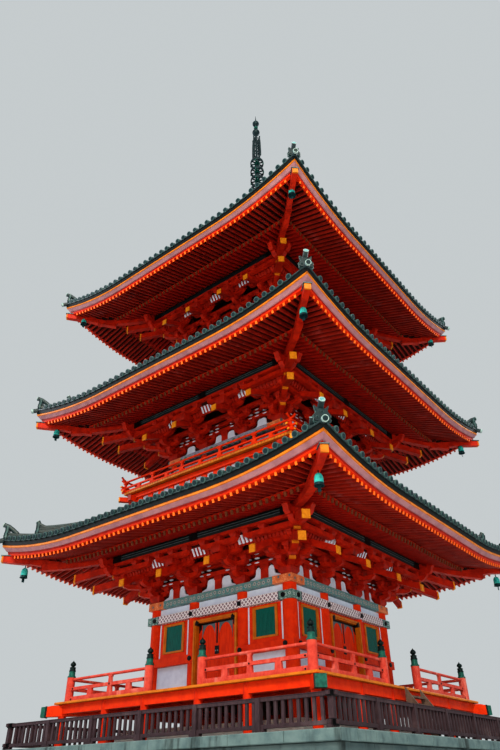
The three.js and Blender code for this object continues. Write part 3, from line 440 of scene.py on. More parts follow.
class Shape:
    """Closed forms drawn on the front face, with x across it, r out from the axis and z up."""

    def __init__(self) -> None:
        """Starts with nothing drawn."""
        self.drawn: list[Point] = []
        self.placed: list[Point] = []
        self.faces: list[tuple[int, ...]] = []
        self.paints: list[Paint] = []

    def add(self, points: Sequence[Point], faces: Sequence[Sequence[int]], paint: Paint) -> None:
        """Adds one closed form.

        Args:
            points: Its points, with y as it is in the model.
            faces: Numbers of the points round each face.
            paint: Finish of its faces.
        """
        start = len(self.drawn)
        self.drawn += points
        self.placed += points
        self.faces += [tuple(start + i for i in face) for face in faces]
        self.paints += [paint] * len(faces)

    def loft(self, rings: Sequence[Sequence[Point]], paint: Paint) -> None:
        """Joins rings of points into one form, closed at both ends.

        Args:
            rings: Rings of equal count, from one end to the other.
            paint: Finish of its faces.
        """
        count = len(rings[0])
        last = (len(rings) - 1) * count
        ends = [tuple(range(count))[::-1], tuple(range(last, last + count))]
        self.add([point for ring in rings for point in ring], skin(len(rings), count) + ends, paint)

    def box(self, x: Span, r: Span, z: Span, paint: Paint) -> None:
        """A block between two distances on each axis."""
        self.across(rect(*r, *z), x, paint)

    def across(self, outline: Outline, x: Span, paint: Paint) -> None:
        """An outline of r and z carried across the face."""
        self.loft([[(at, -r, z) for r, z in outline] for at in x], paint)

    def outward(self, outline: Outline, r: Span, paint: Paint) -> None:
        """An outline of x and z carried outwards."""
        self.loft([[(x, -at, z) for x, z in outline] for at in r], paint)

    def upright(self, outline: Outline, z: Span, paint: Paint) -> None:
        """An outline of x and r carried upwards."""
        self.loft([[(x, -r, at) for x, r in outline] for at in z], paint)

    def mitred(self, start: float, r: Span, z: Span, paint: Paint) -> None:
        """A block at the right end of the face, cut on the corner's diagonal.

        Args:
            start: Where it starts across the face.
            r: Its inner and outer distance.
            z: Its lower and upper height.
            paint: Finish of its faces.
        """
        inner, outer = max(start, r[0]), r[1]
        tail = [(inner, inner)] if start < inner else []
        self.upright([(start, inner), (start, outer), (outer, outer), *tail], z, paint)

    def slanted(self, outline: Outline, width: float, paint: Paint) -> None:
        """An outline of r and z that stands on the corner's diagonal; r is measured square to the face."""
        off = width / 2 * ROOT
        self.loft([[(r + side, -r + side, z) for r, z in outline] for side in (-off, off)], paint)

    def run(self, outline: Outline, paint: Paint, rise: Rise = level, steps: int = 2) -> None:
        """An outline of r and z along the whole face, mitred at both corners and lifted towards them.

        Args:
            outline: The outline in order round the form.
            paint: Finish of its faces.
            rise: Lift at a radius and a distance along the face.
            steps: Number of lengths along the face.
        """
        shares = [math.sin(math.pi * (i / steps - 0.5)) for i in range(steps + 1)]
        self.loft([[(share * r, -r, z + rise(r, abs(share) * r)) for r, z in outline] for share in shares], paint)

    def turned(self, profile: Outline, x: float, r: float, paint: Paint, sides: int = 16) -> None:
        """A form turned about the vertical through x and r.

        Args:
            profile: Radius and height from the axis back to the axis.
            x: Place across the face.
            r: Place out from the axis.
            paint: Finish of its faces.
            sides: Number of faces round it.
        """
        rings = [(radius, z) for radius, z in profile if radius > 0]
        points = [(x + radius * cos, -r + radius * sin, z) for radius, z in rings for cos, sin in circle(sides)]
        faces = skin(len(rings), sides)
        for ring, height in ((0, profile[0][1]), (len(rings) - 1, profile[-1][1])):
            points.append((x, -r, height))
            faces += [(len(points) - 1, ring * sides + j, ring * sides + (j + 1) % sides) for j in range(sides)]
        self.add(points, faces, paint)

    def rod(self, path: Sequence[Point], radius: float, paint: Paint, sides: int = 8, taper: float = 1.0) -> None:
        """A round rod along points of x, r and z.

        Args:
            path: Points along its middle.
            radius: Its radius at the first point.
            paint: Finish of its faces.
            sides: Number of faces round it.
            taper: Share of the radius that is left at the last point.
        """
        middle = [Vector((x, -r, z)) for x, r, z in path]
        rings = []
        for i, here in enumerate(middle):
            ahead = (middle[min(i + 1, len(middle) - 1)] - middle[max(i - 1, 0)]).normalized()
            square = ahead.orthogonal() if abs(ahead.z) > 0.98 else ahead.cross(Vector((0, 0, 1)))
            side = square.normalized()
            other = ahead.cross(side)
            size = radius * (1 + (taper - 1) * i / (len(middle) - 1))
            rings.append([tuple(here + size * (cos * side + sin * other)) for cos, sin in circle(sides)])
        self.loft(rings, paint)

    def doubled(self, change: Callable[[Point], Point], drawn_too: bool = False) -> None:
        """Doubles all that is drawn, with every point moved by change.

        Args:
            change: Gives a point's new place.
            drawn_too: True where the pattern on the faces is moved as well.
        """
        start = len(self.drawn)
        self.drawn += [change(p) for p in self.drawn] if drawn_too else self.drawn
        self.placed += [change(p) for p in self.placed]
        self.faces += [tuple(start + i for i in face) for face in self.faces]
        self.paints += self.paints

    def mirrored(self) -> "Shape":
        """Adds the mirror of everything, across the middle of the face."""
        self.doubled(lambda p: (-p[0], p[1], p[2]), True)
        return self

    def around(self, lap: float = 0.0) -> "Shape":
        """Repeats everything on the other three faces.

        Args:
            lap: Lift of the right and left face.

        Returns:
            This shape.
        """
        self.doubled(lambda p: (-p[0], -p[1], p[2]))
        self.doubled(lambda p: (-p[1], p[0], p[2] + lap))
        return self

    def onto(self, turns: int) -> "Shape":
        """Moves everything to the face that many quarter turns on."""
        self.placed = quarters(self.placed, turns)
        return self

    def take(self, other: "Shape") -> "Shape":
        """Adds all that another shape holds, where it stands.

        Args:
            other: The other shape.

        Returns:
            This shape.
        """
        start = len(self.drawn)
        self.drawn += other.drawn
        self.placed += other.placed
        self.faces += [tuple(start + i for i in face) for face in other.faces]
        self.paints += other.paints
        return self

    def face_metres(self, mesh: bpy.types.Mesh) -> None:
        """Writes a UV map that holds metres across and up each face, as drawn on the front.

        Args:
            mesh: The mesh made from this shape.
        """
        drawn = np.array(self.drawn)
        corners, starts, totals = (np.zeros(len(rows), dtype=np.int32)
                                   for rows in (mesh.loops, mesh.polygons, mesh.polygons))
        mesh.loops.foreach_get("vertex_index", corners)
        mesh.polygons.foreach_get("loop_start", starts)
        mesh.polygons.foreach_get("loop_total", totals)
        a, b, c = (drawn[corners[starts + k]] for k in range(3))
        main = np.repeat(np.abs(np.cross(b - a, c - a)).argmax(axis=1), totals)
        at = drawn[corners]
        across = np.where(main == 0, at[:, 1], at[:, 0])
        up = np.where(main == 2, at[:, 1], at[:, 2])
        layer = mesh.uv_layers.new(name="face_metres")
        layer.data.foreach_set("uv", np.column_stack([across, up]).astype(np.float32).ravel())

    def piece(self, name: str, slot: str, *stands_for: str, body: str = BUILDING, smooth: float = SMOOTH) -> None:
        """Makes everything drawn into one piece.

        Args:
            name: Name of the piece.
            slot: Not used.
            stands_for: Names of the solids that it replaces.
            body: Body that carries it.
            smooth: Edges flatter than this many degrees are shaded round.
        """
        mesh = bpy.data.meshes.new(name)
        mesh.from_pydata(self.placed, [], self.faces)
        order = {paint: i for i, paint in enumerate(dict.fromkeys(self.paints))}
        for paint in order:
            mesh.materials.append(paint.material())
        mesh.polygons.foreach_set("material_index", [order[paint] for paint in self.paints])
        self.face_metres(mesh)
        form = bmesh.new()
        form.from_mesh(mesh)
        bmesh.ops.recalc_face_normals(form, faces=form.faces)
        form.to_mesh(mesh)
        form.free()
        keep(name, mesh, stands_for, body, smooth)


# ---------------------------------------------------------------- repeated pieces


class Guide:
    """Points, and lines between them, that repeated pieces are grown on."""

    def __init__(self) -> None:
        """Starts with no points."""
        self.points: list[Point] = []
        self.runs: list[Point] = []
        self.tops: list[Point] = []
        self.girths: list[float] = []
        self.edges: list[tuple[int, int]] = []

    def mark(self, at: Point, run: Point, top: Point = (0, 0, 1), girth: float = 1.0) -> None:
        """Adds a point of x, r and z.

        Args:
            at: Where the piece starts.
            run: Its length and direction.
            top: The direction its upper side faces.
            girth: Its size against the others.
        """
        for target, (x, r, z) in ((self.points, at), (self.runs, run), (self.tops, top)):
            target.append((x, -r, z))
        self.girths.append(girth)

    def line(self, path: Sequence[Point], girths: Sequence[float]) -> None:
        """Adds a line.

        Args:
            path: Its points of x, r and z.
            girths: The line's girth at each point.
        """
        start = len(self.points)
        for at, girth in zip(path, girths):
            self.mark(at, (0, 0, 0), girth=girth)
        self.edges += [(start + i, start + i + 1) for i in range(len(path) - 1)]

    def around(self) -> "Guide":
        """Repeats every point and line on the other three faces.

        Returns:
            This guide.
        """
        count = len(self.points)
        for values in (self.points, self.runs, self.tops):
            values += [point for turns in (1, 2, 3) for point in quarters(values[:count], turns)]
        self.girths *= 4
        self.edges += [(a + k * count, b + k * count) for k in (1, 2, 3) for a, b in self.edges]
        return self

    def onto(self, turns: int) -> "Guide":
        """Moves everything to the face that many quarter turns on."""
        self.points, self.runs, self.tops = (quarters(v, turns) for v in (self.points, self.runs, self.tops))
        return self

    def mesh(self) -> bpy.types.Mesh:
        """Makes a mesh of the points and lines.

        Returns:
            The mesh, with run, top and girth on each point.
        """
        made = bpy.data.meshes.new("guide")
        made.from_pydata(self.points, self.edges, [])
        for name, kind, field, values in (
            ("run", "FLOAT_VECTOR", "vector", self.runs), ("top", "FLOAT_VECTOR", "vector", self.tops),
            ("girth", "FLOAT", "value", self.girths),
        ):
            layer = made.attributes.new(name, kind, "POINT")
            layer.data.foreach_set(field, np.array(values, dtype=np.float32).ravel())
        return made


class Growth(NodeTree):
    """A Geometry Nodes tree with named inputs that turns a guide into a plain mesh."""

    def __init__(self) -> None:
        """Builds the tree."""
        super().__init__(bpy.data.node_groups.new(type(self).__name__, "GeometryNodeTree"))
        for name, way in (("Guide", "INPUT"), ("Pieces", "OUTPUT")):
            self.tree.interface.new_socket(name, in_out=way, socket_type="NodeSocketGeometry")
        self.entry = self.node("NodeGroupInput").outputs
        whole = self.node("GeometryNodeJoinGeometry")
        self.node("NodeGroupOutput", {"Pieces": whole.outputs["Geometry"]})
        for part in self.build():
            self.feed(whole.inputs["Geometry"], part)

    def build(self) -> list[Socket]:
        """Fills the tree and gives the parts to be joined; each kind of growth has its own."""
        raise NotImplementedError

    @classmethod
    @functools.cache
    def only(cls) -> "Growth":
        """The one tree of this kind."""
        return cls()

    def named(self, kind: str, **defaults: object) -> list[Socket]:
        """Adds named inputs to the tree.

        Args:
            kind: Kind of their sockets.
            defaults: Their values by name, in order, or None for no value.

        Returns:
            The sockets of the inputs, in the same order.
        """
        for name, value in defaults.items():
            socket = self.tree.interface.new_socket(name, in_out="INPUT", socket_type=f"NodeSocket{kind}")
            if value is not None:
                socket.default_value = value
        return [self.entry[name] for name in defaults]

    def stored(self, name: str, kind: str = "FLOAT_VECTOR") -> Socket:
        """The value of a point's attribute."""
        return self.node("GeometryNodeInputNamedAttribute", {"Name": name}, data_type=kind).outputs["Attribute"]

    def number(self, first: Socket, second: object) -> Socket:
        """The product of two numbers."""
        return self.node("ShaderNodeMath", {0: first, 1: second}, operation="MULTIPLY").outputs[0]

    def vector(self, operation: str, first: Socket, second: object, key: str | int = 1) -> Socket:
        """One step of vector arithmetic, with the second value fed into the input key."""
        return self.node("ShaderNodeVectorMath", {0: first, key: second}, operation=operation).outputs["Vector"]

    def length(self) -> Socket:
        """Length of a point's run."""
        return self.node("ShaderNodeVectorMath", {0: self.stored("run")}, operation="LENGTH").outputs["Value"]

    def triple(self, x: Socket, y: Socket, z: Socket) -> Socket:
        """Three numbers as one vector."""
        return self.node("ShaderNodeCombineXYZ", {"X": x, "Y": y, "Z": z}).outputs["Vector"]

    def cube(self, rings: int = 2) -> Socket:
        """A cube of one metre with that many rings of points."""
        return self.node("GeometryNodeMeshCube", {"Size": (1, 1, 1), "Vertices Z": rings}).outputs["Mesh"]

    def moved(self, mesh: Socket, offset: Point = (0, 0, 0), turn: Point = (0, 0, 0)) -> Socket:
        """A mesh shifted and turned."""
        inputs = {"Geometry": mesh, "Translation": offset, "Rotation": turn}
        return self.node("GeometryNodeTransform", inputs).outputs["Geometry"]

    def painted(self, geometry: Socket, paint: Socket) -> Socket:
        """The geometry as plain meshes of one material."""
        real = self.node("GeometryNodeRealizeInstances", {"Geometry": geometry}).outputs["Geometry"]
        return self.node("GeometryNodeSetMaterial", {"Geometry": real, "Material": paint}).outputs["Geometry"]

    def copies(self, shape: Socket, scale: Socket, paint: Socket, points: Socket | None = None) -> Socket:
        """A shape on every point, with x along its run and z towards its top.

        Args:
            shape: The mesh to repeat.
            scale: Its size along the run, across and up.
            paint: Its material.
            points: Points other than the guide's own.

        Returns:
            The copies as one painted geometry.
        """
        turn = self.node(
            "FunctionNodeAxesToRotation", {"Primary Axis": self.stored("run"), "Secondary Axis": self.stored("top")},
            primary_axis="X", secondary_axis="Z")
        inputs = {"Points": points or self.entry["Guide"], "Instance": shape, "Rotation": turn.outputs["Rotation"],
                  "Scale": scale}
        return self.painted(self.node("GeometryNodeInstanceOnPoints", inputs).outputs["Instances"], paint)

    @classmethod
    def grow(
        cls, name: str, guide: Guide, slot: str, *stands_for: str, smooth: float = SMOOTH, **values: object,
    ) -> None:
        """Grows the tree on a guide and keeps the result as a plain mesh.

        Args:
            name: Name of the piece.
            guide: Points and lines to grow on.
            slot: Not used.
            stands_for: Names of the solids that the piece replaces.
            smooth: Edges flatter than this many degrees are shaded round.
            values: Values of the tree's named inputs.
        """
        tree = cls.only().tree
        source = bpy.data.objects.new(f"{name}_guide", guide.mesh())
        bpy.context.scene.collection.objects.link(source)
        modifier = source.modifiers.new("growth", "NODES")
        modifier.node_group = tree
        for item in tree.interface.items_tree:
            if item.name in values:
                value = values[item.name]
                modifier[item.identifier] = value.material() if isinstance(value, Paint) else value
        graph = bpy.context.evaluated_depsgraph_get()
        mesh = bpy.data.meshes.new_from_object(source.evaluated_get(graph), depsgraph=graph)
        mesh.name = name
        source.modifiers.remove(modifier)
        points = source.data
        bpy.data.objects.remove(source)
        bpy.data.meshes.remove(points)
        for layer in {"run", "top", "girth"} & set(mesh.attributes.keys()):
            mesh.attributes.remove(mesh.attributes[layer])
        keep(name, mesh, stands_for, smooth=smooth)


class Laths(Growth):
    """Plain squared laths along each point's run."""

    def bars(self) -> tuple[list[Socket], Socket]:
        """Adds the named sizes and a bar on each point.

        Returns:
            The width and depth, and the bars that start on their points.
        """
        sizes = self.named("Float", Width=0.1, Depth=0.1)
        wood, = self.named("Material", Wood=None)
        return sizes, self.copies(self.moved(self.cube(), (0.5, 0, 0.5)), self.triple(self.length(), *sizes), wood)

    def build(self) -> list[Socket]:
        """The bars alone."""
        return [self.bars()[1]]


class Timbers(Laths):
    """Squared timbers along each point's run, with a painted tip."""

    def build(self) -> list[Socket]:
        """Fills the tree.

        Returns:
            The bars, and a slightly larger cap at the far end of each.
        """
        sizes, bars = self.bars()
        (tip,), (cap,) = self.named("Float", Tip=0.02), self.named("Material", Cap=None)
        ends = self.node("GeometryNodeSetPosition", {"Geometry": self.entry["Guide"], "Offset": self.stored("run")})
        grown = self.vector("MULTIPLY", self.triple(tip, *sizes), (1.0, 1.05, 1.05))
        block = self.moved(self.cube(), (-0.42, 0, 0.5))
        return [bars, self.copies(block, grown, cap, ends.outputs["Geometry"])]


class BearingBlocks(Growth):
    """Bearing blocks that are drawn in at the foot, each standing on its point."""

    def build(self) -> list[Socket]:
        """Fills the tree.

        Returns:
            A cube on each point with its lower ring drawn in, sized by the girth.
        """
        (width, height), (wood,) = self.named("Float", Width=0.2, Height=0.12), self.named("Material", Wood=None)
        place = self.node("GeometryNodeInputPosition").outputs["Position"]
        up = self.node("ShaderNodeSeparateXYZ", {"Vector": place}).outputs["Z"]
        low = self.node("FunctionNodeCompare", {0: up, 1: -0.3}, data_type="FLOAT", operation="LESS_THAN")
        drawn_in = self.node("GeometryNodeSetPosition", {
            "Geometry": self.cube(3), "Selection": low.outputs["Result"],
            "Position": self.vector("MULTIPLY", place, (0.66, 0.66, 1.0))})
        block = self.moved(drawn_in.outputs["Geometry"], (0, 0, 0.5))
        size = self.triple(width, width, height)
        return [self.copies(block, self.vector("SCALE", size, self.stored("girth", "FLOAT"), "Scale"), wood)]


class Rows(Growth):
    """Round rows that follow the guide's lines."""

    def build(self) -> list[Socket]:
        """Fills the tree.

        Returns:
            Every line swept with a circle whose size follows the girth.
        """
        (radius,), (sides,) = self.named("Float", Radius=0.07), self.named("Int", Sides=8)
        paint, = self.named("Material", Skin=None)
        curve = self.node("GeometryNodeMeshToCurve", {"Mesh": self.entry["Guide"]})
        ring = self.node("GeometryNodeCurvePrimitiveCircle", {"Resolution": sides, "Radius": radius}, mode="RADIUS")
        swept = self.node("GeometryNodeCurveToMesh", {
            "Curve": curve.outputs["Curve"], "Profile Curve": ring.outputs["Curve"],
            "Scale": self.stored("girth", "FLOAT"), "Fill Caps": True})
        return [self.painted(swept.outputs["Mesh"], paint)]


class Studs(Growth):
    """Round studs whose axis lies along each point's run: a rim with a face set in it."""

    def build(self) -> list[Socket]:
        """Fills the tree.

        Returns:
            A drum on each point and a smaller, slightly longer drum inside its rim.
        """
        radius, depth, inset = self.named("Float", Radius=0.05, Depth=0.03, Inset=0.7)
        (sides,), (rim, heart) = self.named("Int", Sides=12), self.named("Material", Rim=None, Heart=None)
        drum = self.node("GeometryNodeMeshCylinder", {"Vertices": sides, "Radius": 1.0, "Depth": 1.0})
        lying = self.moved(drum.outputs["Mesh"], (0.5, 0, 0), (0, math.pi / 2, 0))
        small = self.number(radius, inset)
        return [self.copies(lying, self.triple(depth, radius, radius), rim),
                self.copies(lying, self.triple(self.number(depth, 1.25), small, small), heart)]


# ---------------------------------------------------------------- podium and fence


@dataclass
class Podium:
    """Cut granite podium with its coping, paving and the plaster mound."""

    half: float = 5.71
    core_half: float = 5.68
    facing: float = 0.35
    coping_half: float = 5.77
    coping_inner: float = 5.16
    courses: tuple[float, ...] = (0.0, 0.31, 0.624, 0.9377)
    coping_bottom: float = 0.938
    coping_top: float = 1.15
    joint: float = 0.012
    stone: float = 1.28
    chamfer: float = 0.014
    worn: float = 0.022
    slabs: int = 11
    slab_joint: float = 0.004
    mound: float = 2.9
    uneven: float = 0.16
    proud: float = 0.012

    def lengths(self, span: float, rng: random.Random) -> list[Span]:
        """Cuts a length into stones with a joint between each two.

        Args:
            span: Half of the length.
            rng: Seeded source of small differences.

        Returns:
            Start and end of each stone.
        """
        count = round(2 * span / self.stone)
        marks = [-span + 2 * span * i / count for i in range(count + 1)]
        marks[1:-1] = [m + rng.uniform(-self.uneven, self.uneven) for m in marks[1:-1]]
        return [(a + self.joint / 2, b - self.joint / 2) for a, b in zip(marks, marks[1:])]

    def stones(self) -> None:
        """Facing courses round a core, and the paving."""
        rng, shape, c, inner = random.Random(11), Shape(), self.chamfer, self.half - self.facing
        for low, high in zip(self.courses, self.courses[1:]):
            face, z0, z1 = Shape(), low + self.joint / 2 * (low > 0), high - self.joint / 2
            for a, b in self.lengths(self.half, rng):
                front = self.half - rng.uniform(0.0, self.proud)
                face.across(
                    [(inner, z0), (front - c, z0), (front, z0 + c), (front, z1 - c), (front - c, z1), (inner, z1)],
                    (a if a > -self.half + 0.1 else -inner, b), Paint.GRANITE)
            shape.take(face.around())
        edge, gap, top = self.coping_inner - HAIR, self.slab_joint, self.coping_top
        for half, z in ((self.core_half, (0.0, 0.93)), (edge, (0.8, 1.142))):
            shape.upright(rect(-half, half, -half, half), z, Paint.JOINT)
        slab = 2 * edge / self.slabs
        marks = [-edge + i * slab for i in range(self.slabs)]
        for x in marks:
            for r in marks:
                if max(abs(x + slab / 2), abs(r + slab / 2)) > self.mound:
                    shape.box((x + gap, x + slab - gap), (r + gap, r + slab - gap), (top - 0.02, top), Paint.PAVING)
        shape.piece("podium_stones", "granite", "podium")

    def coping(self) -> None:
        """Long coping stones with a worn upper edge."""
        rng, shape, c = random.Random(5), Shape(), self.worn
        out, back, low, top = self.coping_half, self.coping_inner, self.coping_bottom, self.coping_top
        for a, b in self.lengths(out, rng):
            a = max(a, -out + (out - back) + self.joint)
            shape.across(
                [(back, low), (out - 0.016, low), (out, low + 0.016), (out, top - c), (out - c, top), (back, top)],
                (a, b), Paint.COPING)
            shape.across(
                [(out - c - 0.02, top - 0.03), (out - 0.004, top - 0.03), (out - 0.001, top - c - 0.002),
                 (out - c, top + 0.0002), (out - c - 0.02, top + 0.0002)], (a + 0.004, b - 0.004), Paint.PAVING)
        shape.around().piece("coping_stones", "granite", "podium_coping")

    def build(self) -> None:
        """Builds stones, coping and the mound's finish."""
        self.stones()
        self.coping()
        dress("plaster_mound", Paint.PLASTER)


@dataclass
class Fence:
    """Picket fence along the podium's edge."""

    line: float = 5.38
    foot: float = 1.1503
    bottom: float = 1.229
    top: float = 1.805
    post: float = 0.12
    pitch: float = 0.19
    picket: float = 0.072
    bays: int = 6
    rail: float = 0.08
    past: float = 0.1

    def rails(self, index: int, face: str) -> None:
        """Rails, posts with their foot blocks, and iron fittings of one side.

        Args:
            index: Quarter turns from the front.
            face: Name of the side.
        """
        line, out, shape, drop = self.line, self.line + 0.045, Shape(), 0.004 * (index % 2)
        end = out + self.past
        for z0, z1 in ((self.bottom, self.bottom + self.rail), (self.top - self.rail, self.top)):
            shape.box((-end, end - 0.002), about(line, 0.042), (z0 + drop, z1 - 0.004 + drop), Paint.FENCE)
        for i, x in enumerate(self.posts()[:-1]):
            half = self.post / 2 - 0.001 * (i == 0)
            shape.box(about(x, half), about(line, half), (self.foot, self.top - 0.01), Paint.FENCE)
            shape.box(about(x, 0.15), (line - 0.06, line + 0.052), (self.foot, self.bottom), Paint.FENCE)
        shape.box((-end, end - 0.01), about(line, 0.05), (self.top - 0.012 + drop, self.top + drop), Paint.FENCE)
        for z in (self.bottom + self.rail / 2, self.top - self.rail / 2):
            shape.box((-out - 0.05, -out + 0.15), about(line, 0.07), (z - 0.058, z + 0.054), Paint.IRON)
            shape.box((out - 0.15, out + 0.045), about(line, 0.052), about(z, 0.05), Paint.IRON)
        shape.onto(index).piece(f"fence_rails_{face}", "fence_wood", f"fence_{face}")

    def posts(self) -> list[float]:
        """Places of the posts along a side, with the next side's corner post."""
        return [-self.line + i * (2 * self.line / self.bays) for i in range(self.bays + 1)]

    def build(self) -> None:
        """Builds the rails and pickets of the four sides, each with its own corner post."""
        for index, face in enumerate(FACES):
            self.rails(index, face)
            guide = Guide()
            for i in range(int(2 * self.line / self.pitch)):
                x = -self.line + (i + 0.5) * self.pitch
                if min(abs(x - post) for post in self.posts()) > 0.11:
                    foot, tall = (x, self.line - 0.026, self.bottom + 0.06), self.top - self.bottom - 0.12
                    guide.mark(foot, (0, 0, tall), (0, 1, 0))
            Laths.grow(f"fence_pickets_{face}", guide.onto(index), "fence_wood", f"fence_{face}",
                       Width=self.picket, Depth=0.05, Wood=Paint.FENCE)


# ---------------------------------------------------------------- veranda


@dataclass
class Veranda:
    """Under-floor posts and beams, the boarded deck and its ochre edge."""

    line: float = 4.4
    places: tuple[float, ...] = (0.95, 2.51)
    joists: tuple[float, ...] = (-3.6, -2.51, -1.7, -0.95, 0.0, 0.95, 1.7, 2.51, 3.6)
    radius: float = 0.115
    foot: float = 1.1503
    top: float = 2.2757
    inner: float = 2.98
    deck_half: float = 4.595
    deck_top: float = 2.341
    wall: float = 2.771
    board: float = 0.21
    board_gap: float = 0.006

    def frame_work(self) -> None:
        """Posts, beams, joists and the corner beams with their bronze caps."""
        shape, line, inner, top, foot = Shape(), self.line, self.inner, self.top, self.foot
        for x in (*self.places, *(-p for p in self.places), line):
            shape.turned([(0, foot), (self.radius, foot), (self.radius, top - 0.02), (0, top - 0.02)],
                         x, line, Paint.VERMILION, 20)
            shape.turned([(0, 1.1502), (0.19, 1.1502), (0.17, 1.2), (0, 1.2)], x, line, Paint.COPING, 14)
        shape.run(rect(*about(line, 0.09), top - 0.24, top), Paint.BRIGHT)
        shape.run(rect(*about(inner, 0.05), top - 0.17, top), Paint.VERMILION)
        for x in self.joists:
            shape.box(about(x, 0.05), (max(inner, abs(x)), line), (top - 0.12, top - 0.02), Paint.VERMILION)
        shape.slanted([(inner, top - 0.02), (inner, top - 0.26), (4.80, top - 0.31), (4.80, top - 0.07),
                       (self.deck_half, top - 0.02)], 0.24, Paint.BRIGHT)
        shape.slanted([(4.73, 1.955), (4.825, 1.955), (4.825, 2.215), (4.73, 2.225)], 0.25, Paint.VERDIGRIS)
        shape.slanted(rect(4.71, 4.745, 1.945, 2.237), 0.26, Paint.DARK_NECK)
        shape.around().piece("veranda_timbers", "vermilion", "veranda_frame")

    def deck(self) -> None:
        """Boards that run outwards, inside an ochre edge."""
        edge, guide, out, top, low = Shape(), Guide(), self.deck_half, self.deck_top, self.deck_top - 0.065
        edge.run([(out - 0.16, low), (out - 0.012, low), (out, low + 0.012), (out, top - 0.01), (out - 0.01, top),
                  (out - 0.16, top)], Paint.OCHRE)
        edge.around().piece("veranda_edge", "deck_wood", "veranda_deck")
        inside, wall, step = out - 0.163, self.wall + 0.002, self.board
        for side in (-1, 1):
            for i in range(int(2 * inside / step)):
                x = -inside + (i + 0.5) * step + 0.02
                guide.mark((x, side * wall, low + 0.004), (0, side * (inside - wall), 0))
            for i in range(int(2 * wall / step)):
                r = -wall + (i + 0.5) * step + 0.04
                guide.mark((side * wall, r, low + 0.004), (side * (inside - wall), 0, 0))
        Laths.grow("veranda_boards", guide, "deck_wood", "veranda_deck",
                   Width=step - self.board_gap, Depth=0.06, Wood=Paint.DECK)

    def build(self) -> None:
        """Builds the frame and the deck, and dresses the stair and the floor."""
        self.frame_work()
        self.deck()
        dress("stair", Paint.STAIR)
        dress("first_floor", Paint.INNER)


@dataclass
class VerandaRailing:
    """Open railing in four corner lengths, with turned finial posts."""

    base: float = 2.3413
    line: float = 4.313
    entrance: float = 0.965
    struts: tuple[float, ...] = (1.74, 3.37)
    tall: float = 2.52
    post_top: float = 0.692

    def finial(self, shape: Shape, x: float) -> None:
        """A round post with its bronze sleeve, neck rings and onion.

        Args:
            shape: The shape that is drawn on.
            x: Its place along the railing.
        """
        for paint, profile in (
            (Paint.SALMON, [(0, 0), (0.118, 0), (0.118, self.post_top - 0.012), (0.108, self.post_top),
                            (0, self.post_top)]),
            (Paint.VERDIGRIS, [(0, 0.655), (0.122, 0.655), (0.122, 0.69), (0.1, 0.7), (0.092, 0.74), (0.09, 0.83),
                               (0, 0.83)]),
            (Paint.DARK_NECK, [(0, 0.825), (0.096, 0.825), (0.1, 0.842), (0.096, 0.86), (0.086, 0.87), (0.084, 0.915),
                               (0.092, 0.925), (0.088, 0.94), (0.06, 0.948), (0, 0.948)]),
            (Paint.DARK_NECK, [(0, 0.94), (0.044, 0.94), (0.04, 0.957), (0.056, 0.966), (0.05, 0.975), (0.075, 0.99),
                               (0.084, 1.014), (0.077, 1.045), (0.055, 1.072), (0.03, 1.092), (0.013, 1.112),
                               (0.006, 1.13), (0, 1.132)]),
        ):
            shape.turned([(radius, self.base + z) for radius, z in profile], x, self.line, paint, 20)

    def arm(self) -> Shape:
        """The length from the entrance to the corner along the front, with its entrance post.

        Returns:
            The shape of that length.
        """
        b, r, shape, tall = self.base, self.line, Shape(), self.tall
        start, end = self.entrance, self.line
        shape.box((start, end), about(r, 0.06), (b, b + 0.138), Paint.SALMON)
        shape.box((start, end), about(r, 0.04), (b + 0.306, b + 0.391), Paint.SALMON)
        shape.rod([(start, r, b + 0.6), (end, r, b + 0.6)], 0.04, Paint.SALMON, 12)
        for x in self.struts:
            shape.outward([(x - 0.1, b + 0.13), (x + 0.1, b + 0.13), (x + 0.085, b + 0.31), (x - 0.085, b + 0.31)],
                          about(r, 0.038), Paint.SALMON)
        shape.outward([(tall - 0.085, b + 0.13), (tall + 0.085, b + 0.13), (tall + 0.05, b + 0.51),
                       (tall + 0.085, b + 0.575), (tall - 0.085, b + 0.575), (tall - 0.05, b + 0.51)],
                      about(r, 0.038), Paint.SALMON)
        for x, z, near in ((tall, 0.348, 0.038), (start + 0.16, 0.348, 0.038), (end - 0.17, 0.348, 0.038),
                           (end - 0.17, 0.07, 0.058)):
            shape.rod([(x, r + near, b + z), (x, r + near + 0.014, b + z)], 0.024, Paint.IRON)
        self.finial(shape, start)
        return shape

    def build(self) -> None:
        """Builds the four corner lengths."""
        for index, corner in enumerate(CORNERS):
            shape, other = self.arm(), self.arm()
            other.placed = [(-y, -x, z) for x, y, z in other.placed]
            shape.take(other)
            self.finial(shape, self.line)
            shape.onto(index).piece(f"railing_timbers_{corner}", "faded_vermilion", f"railing_{corner}")


# ---------------------------------------------------------------- first storey


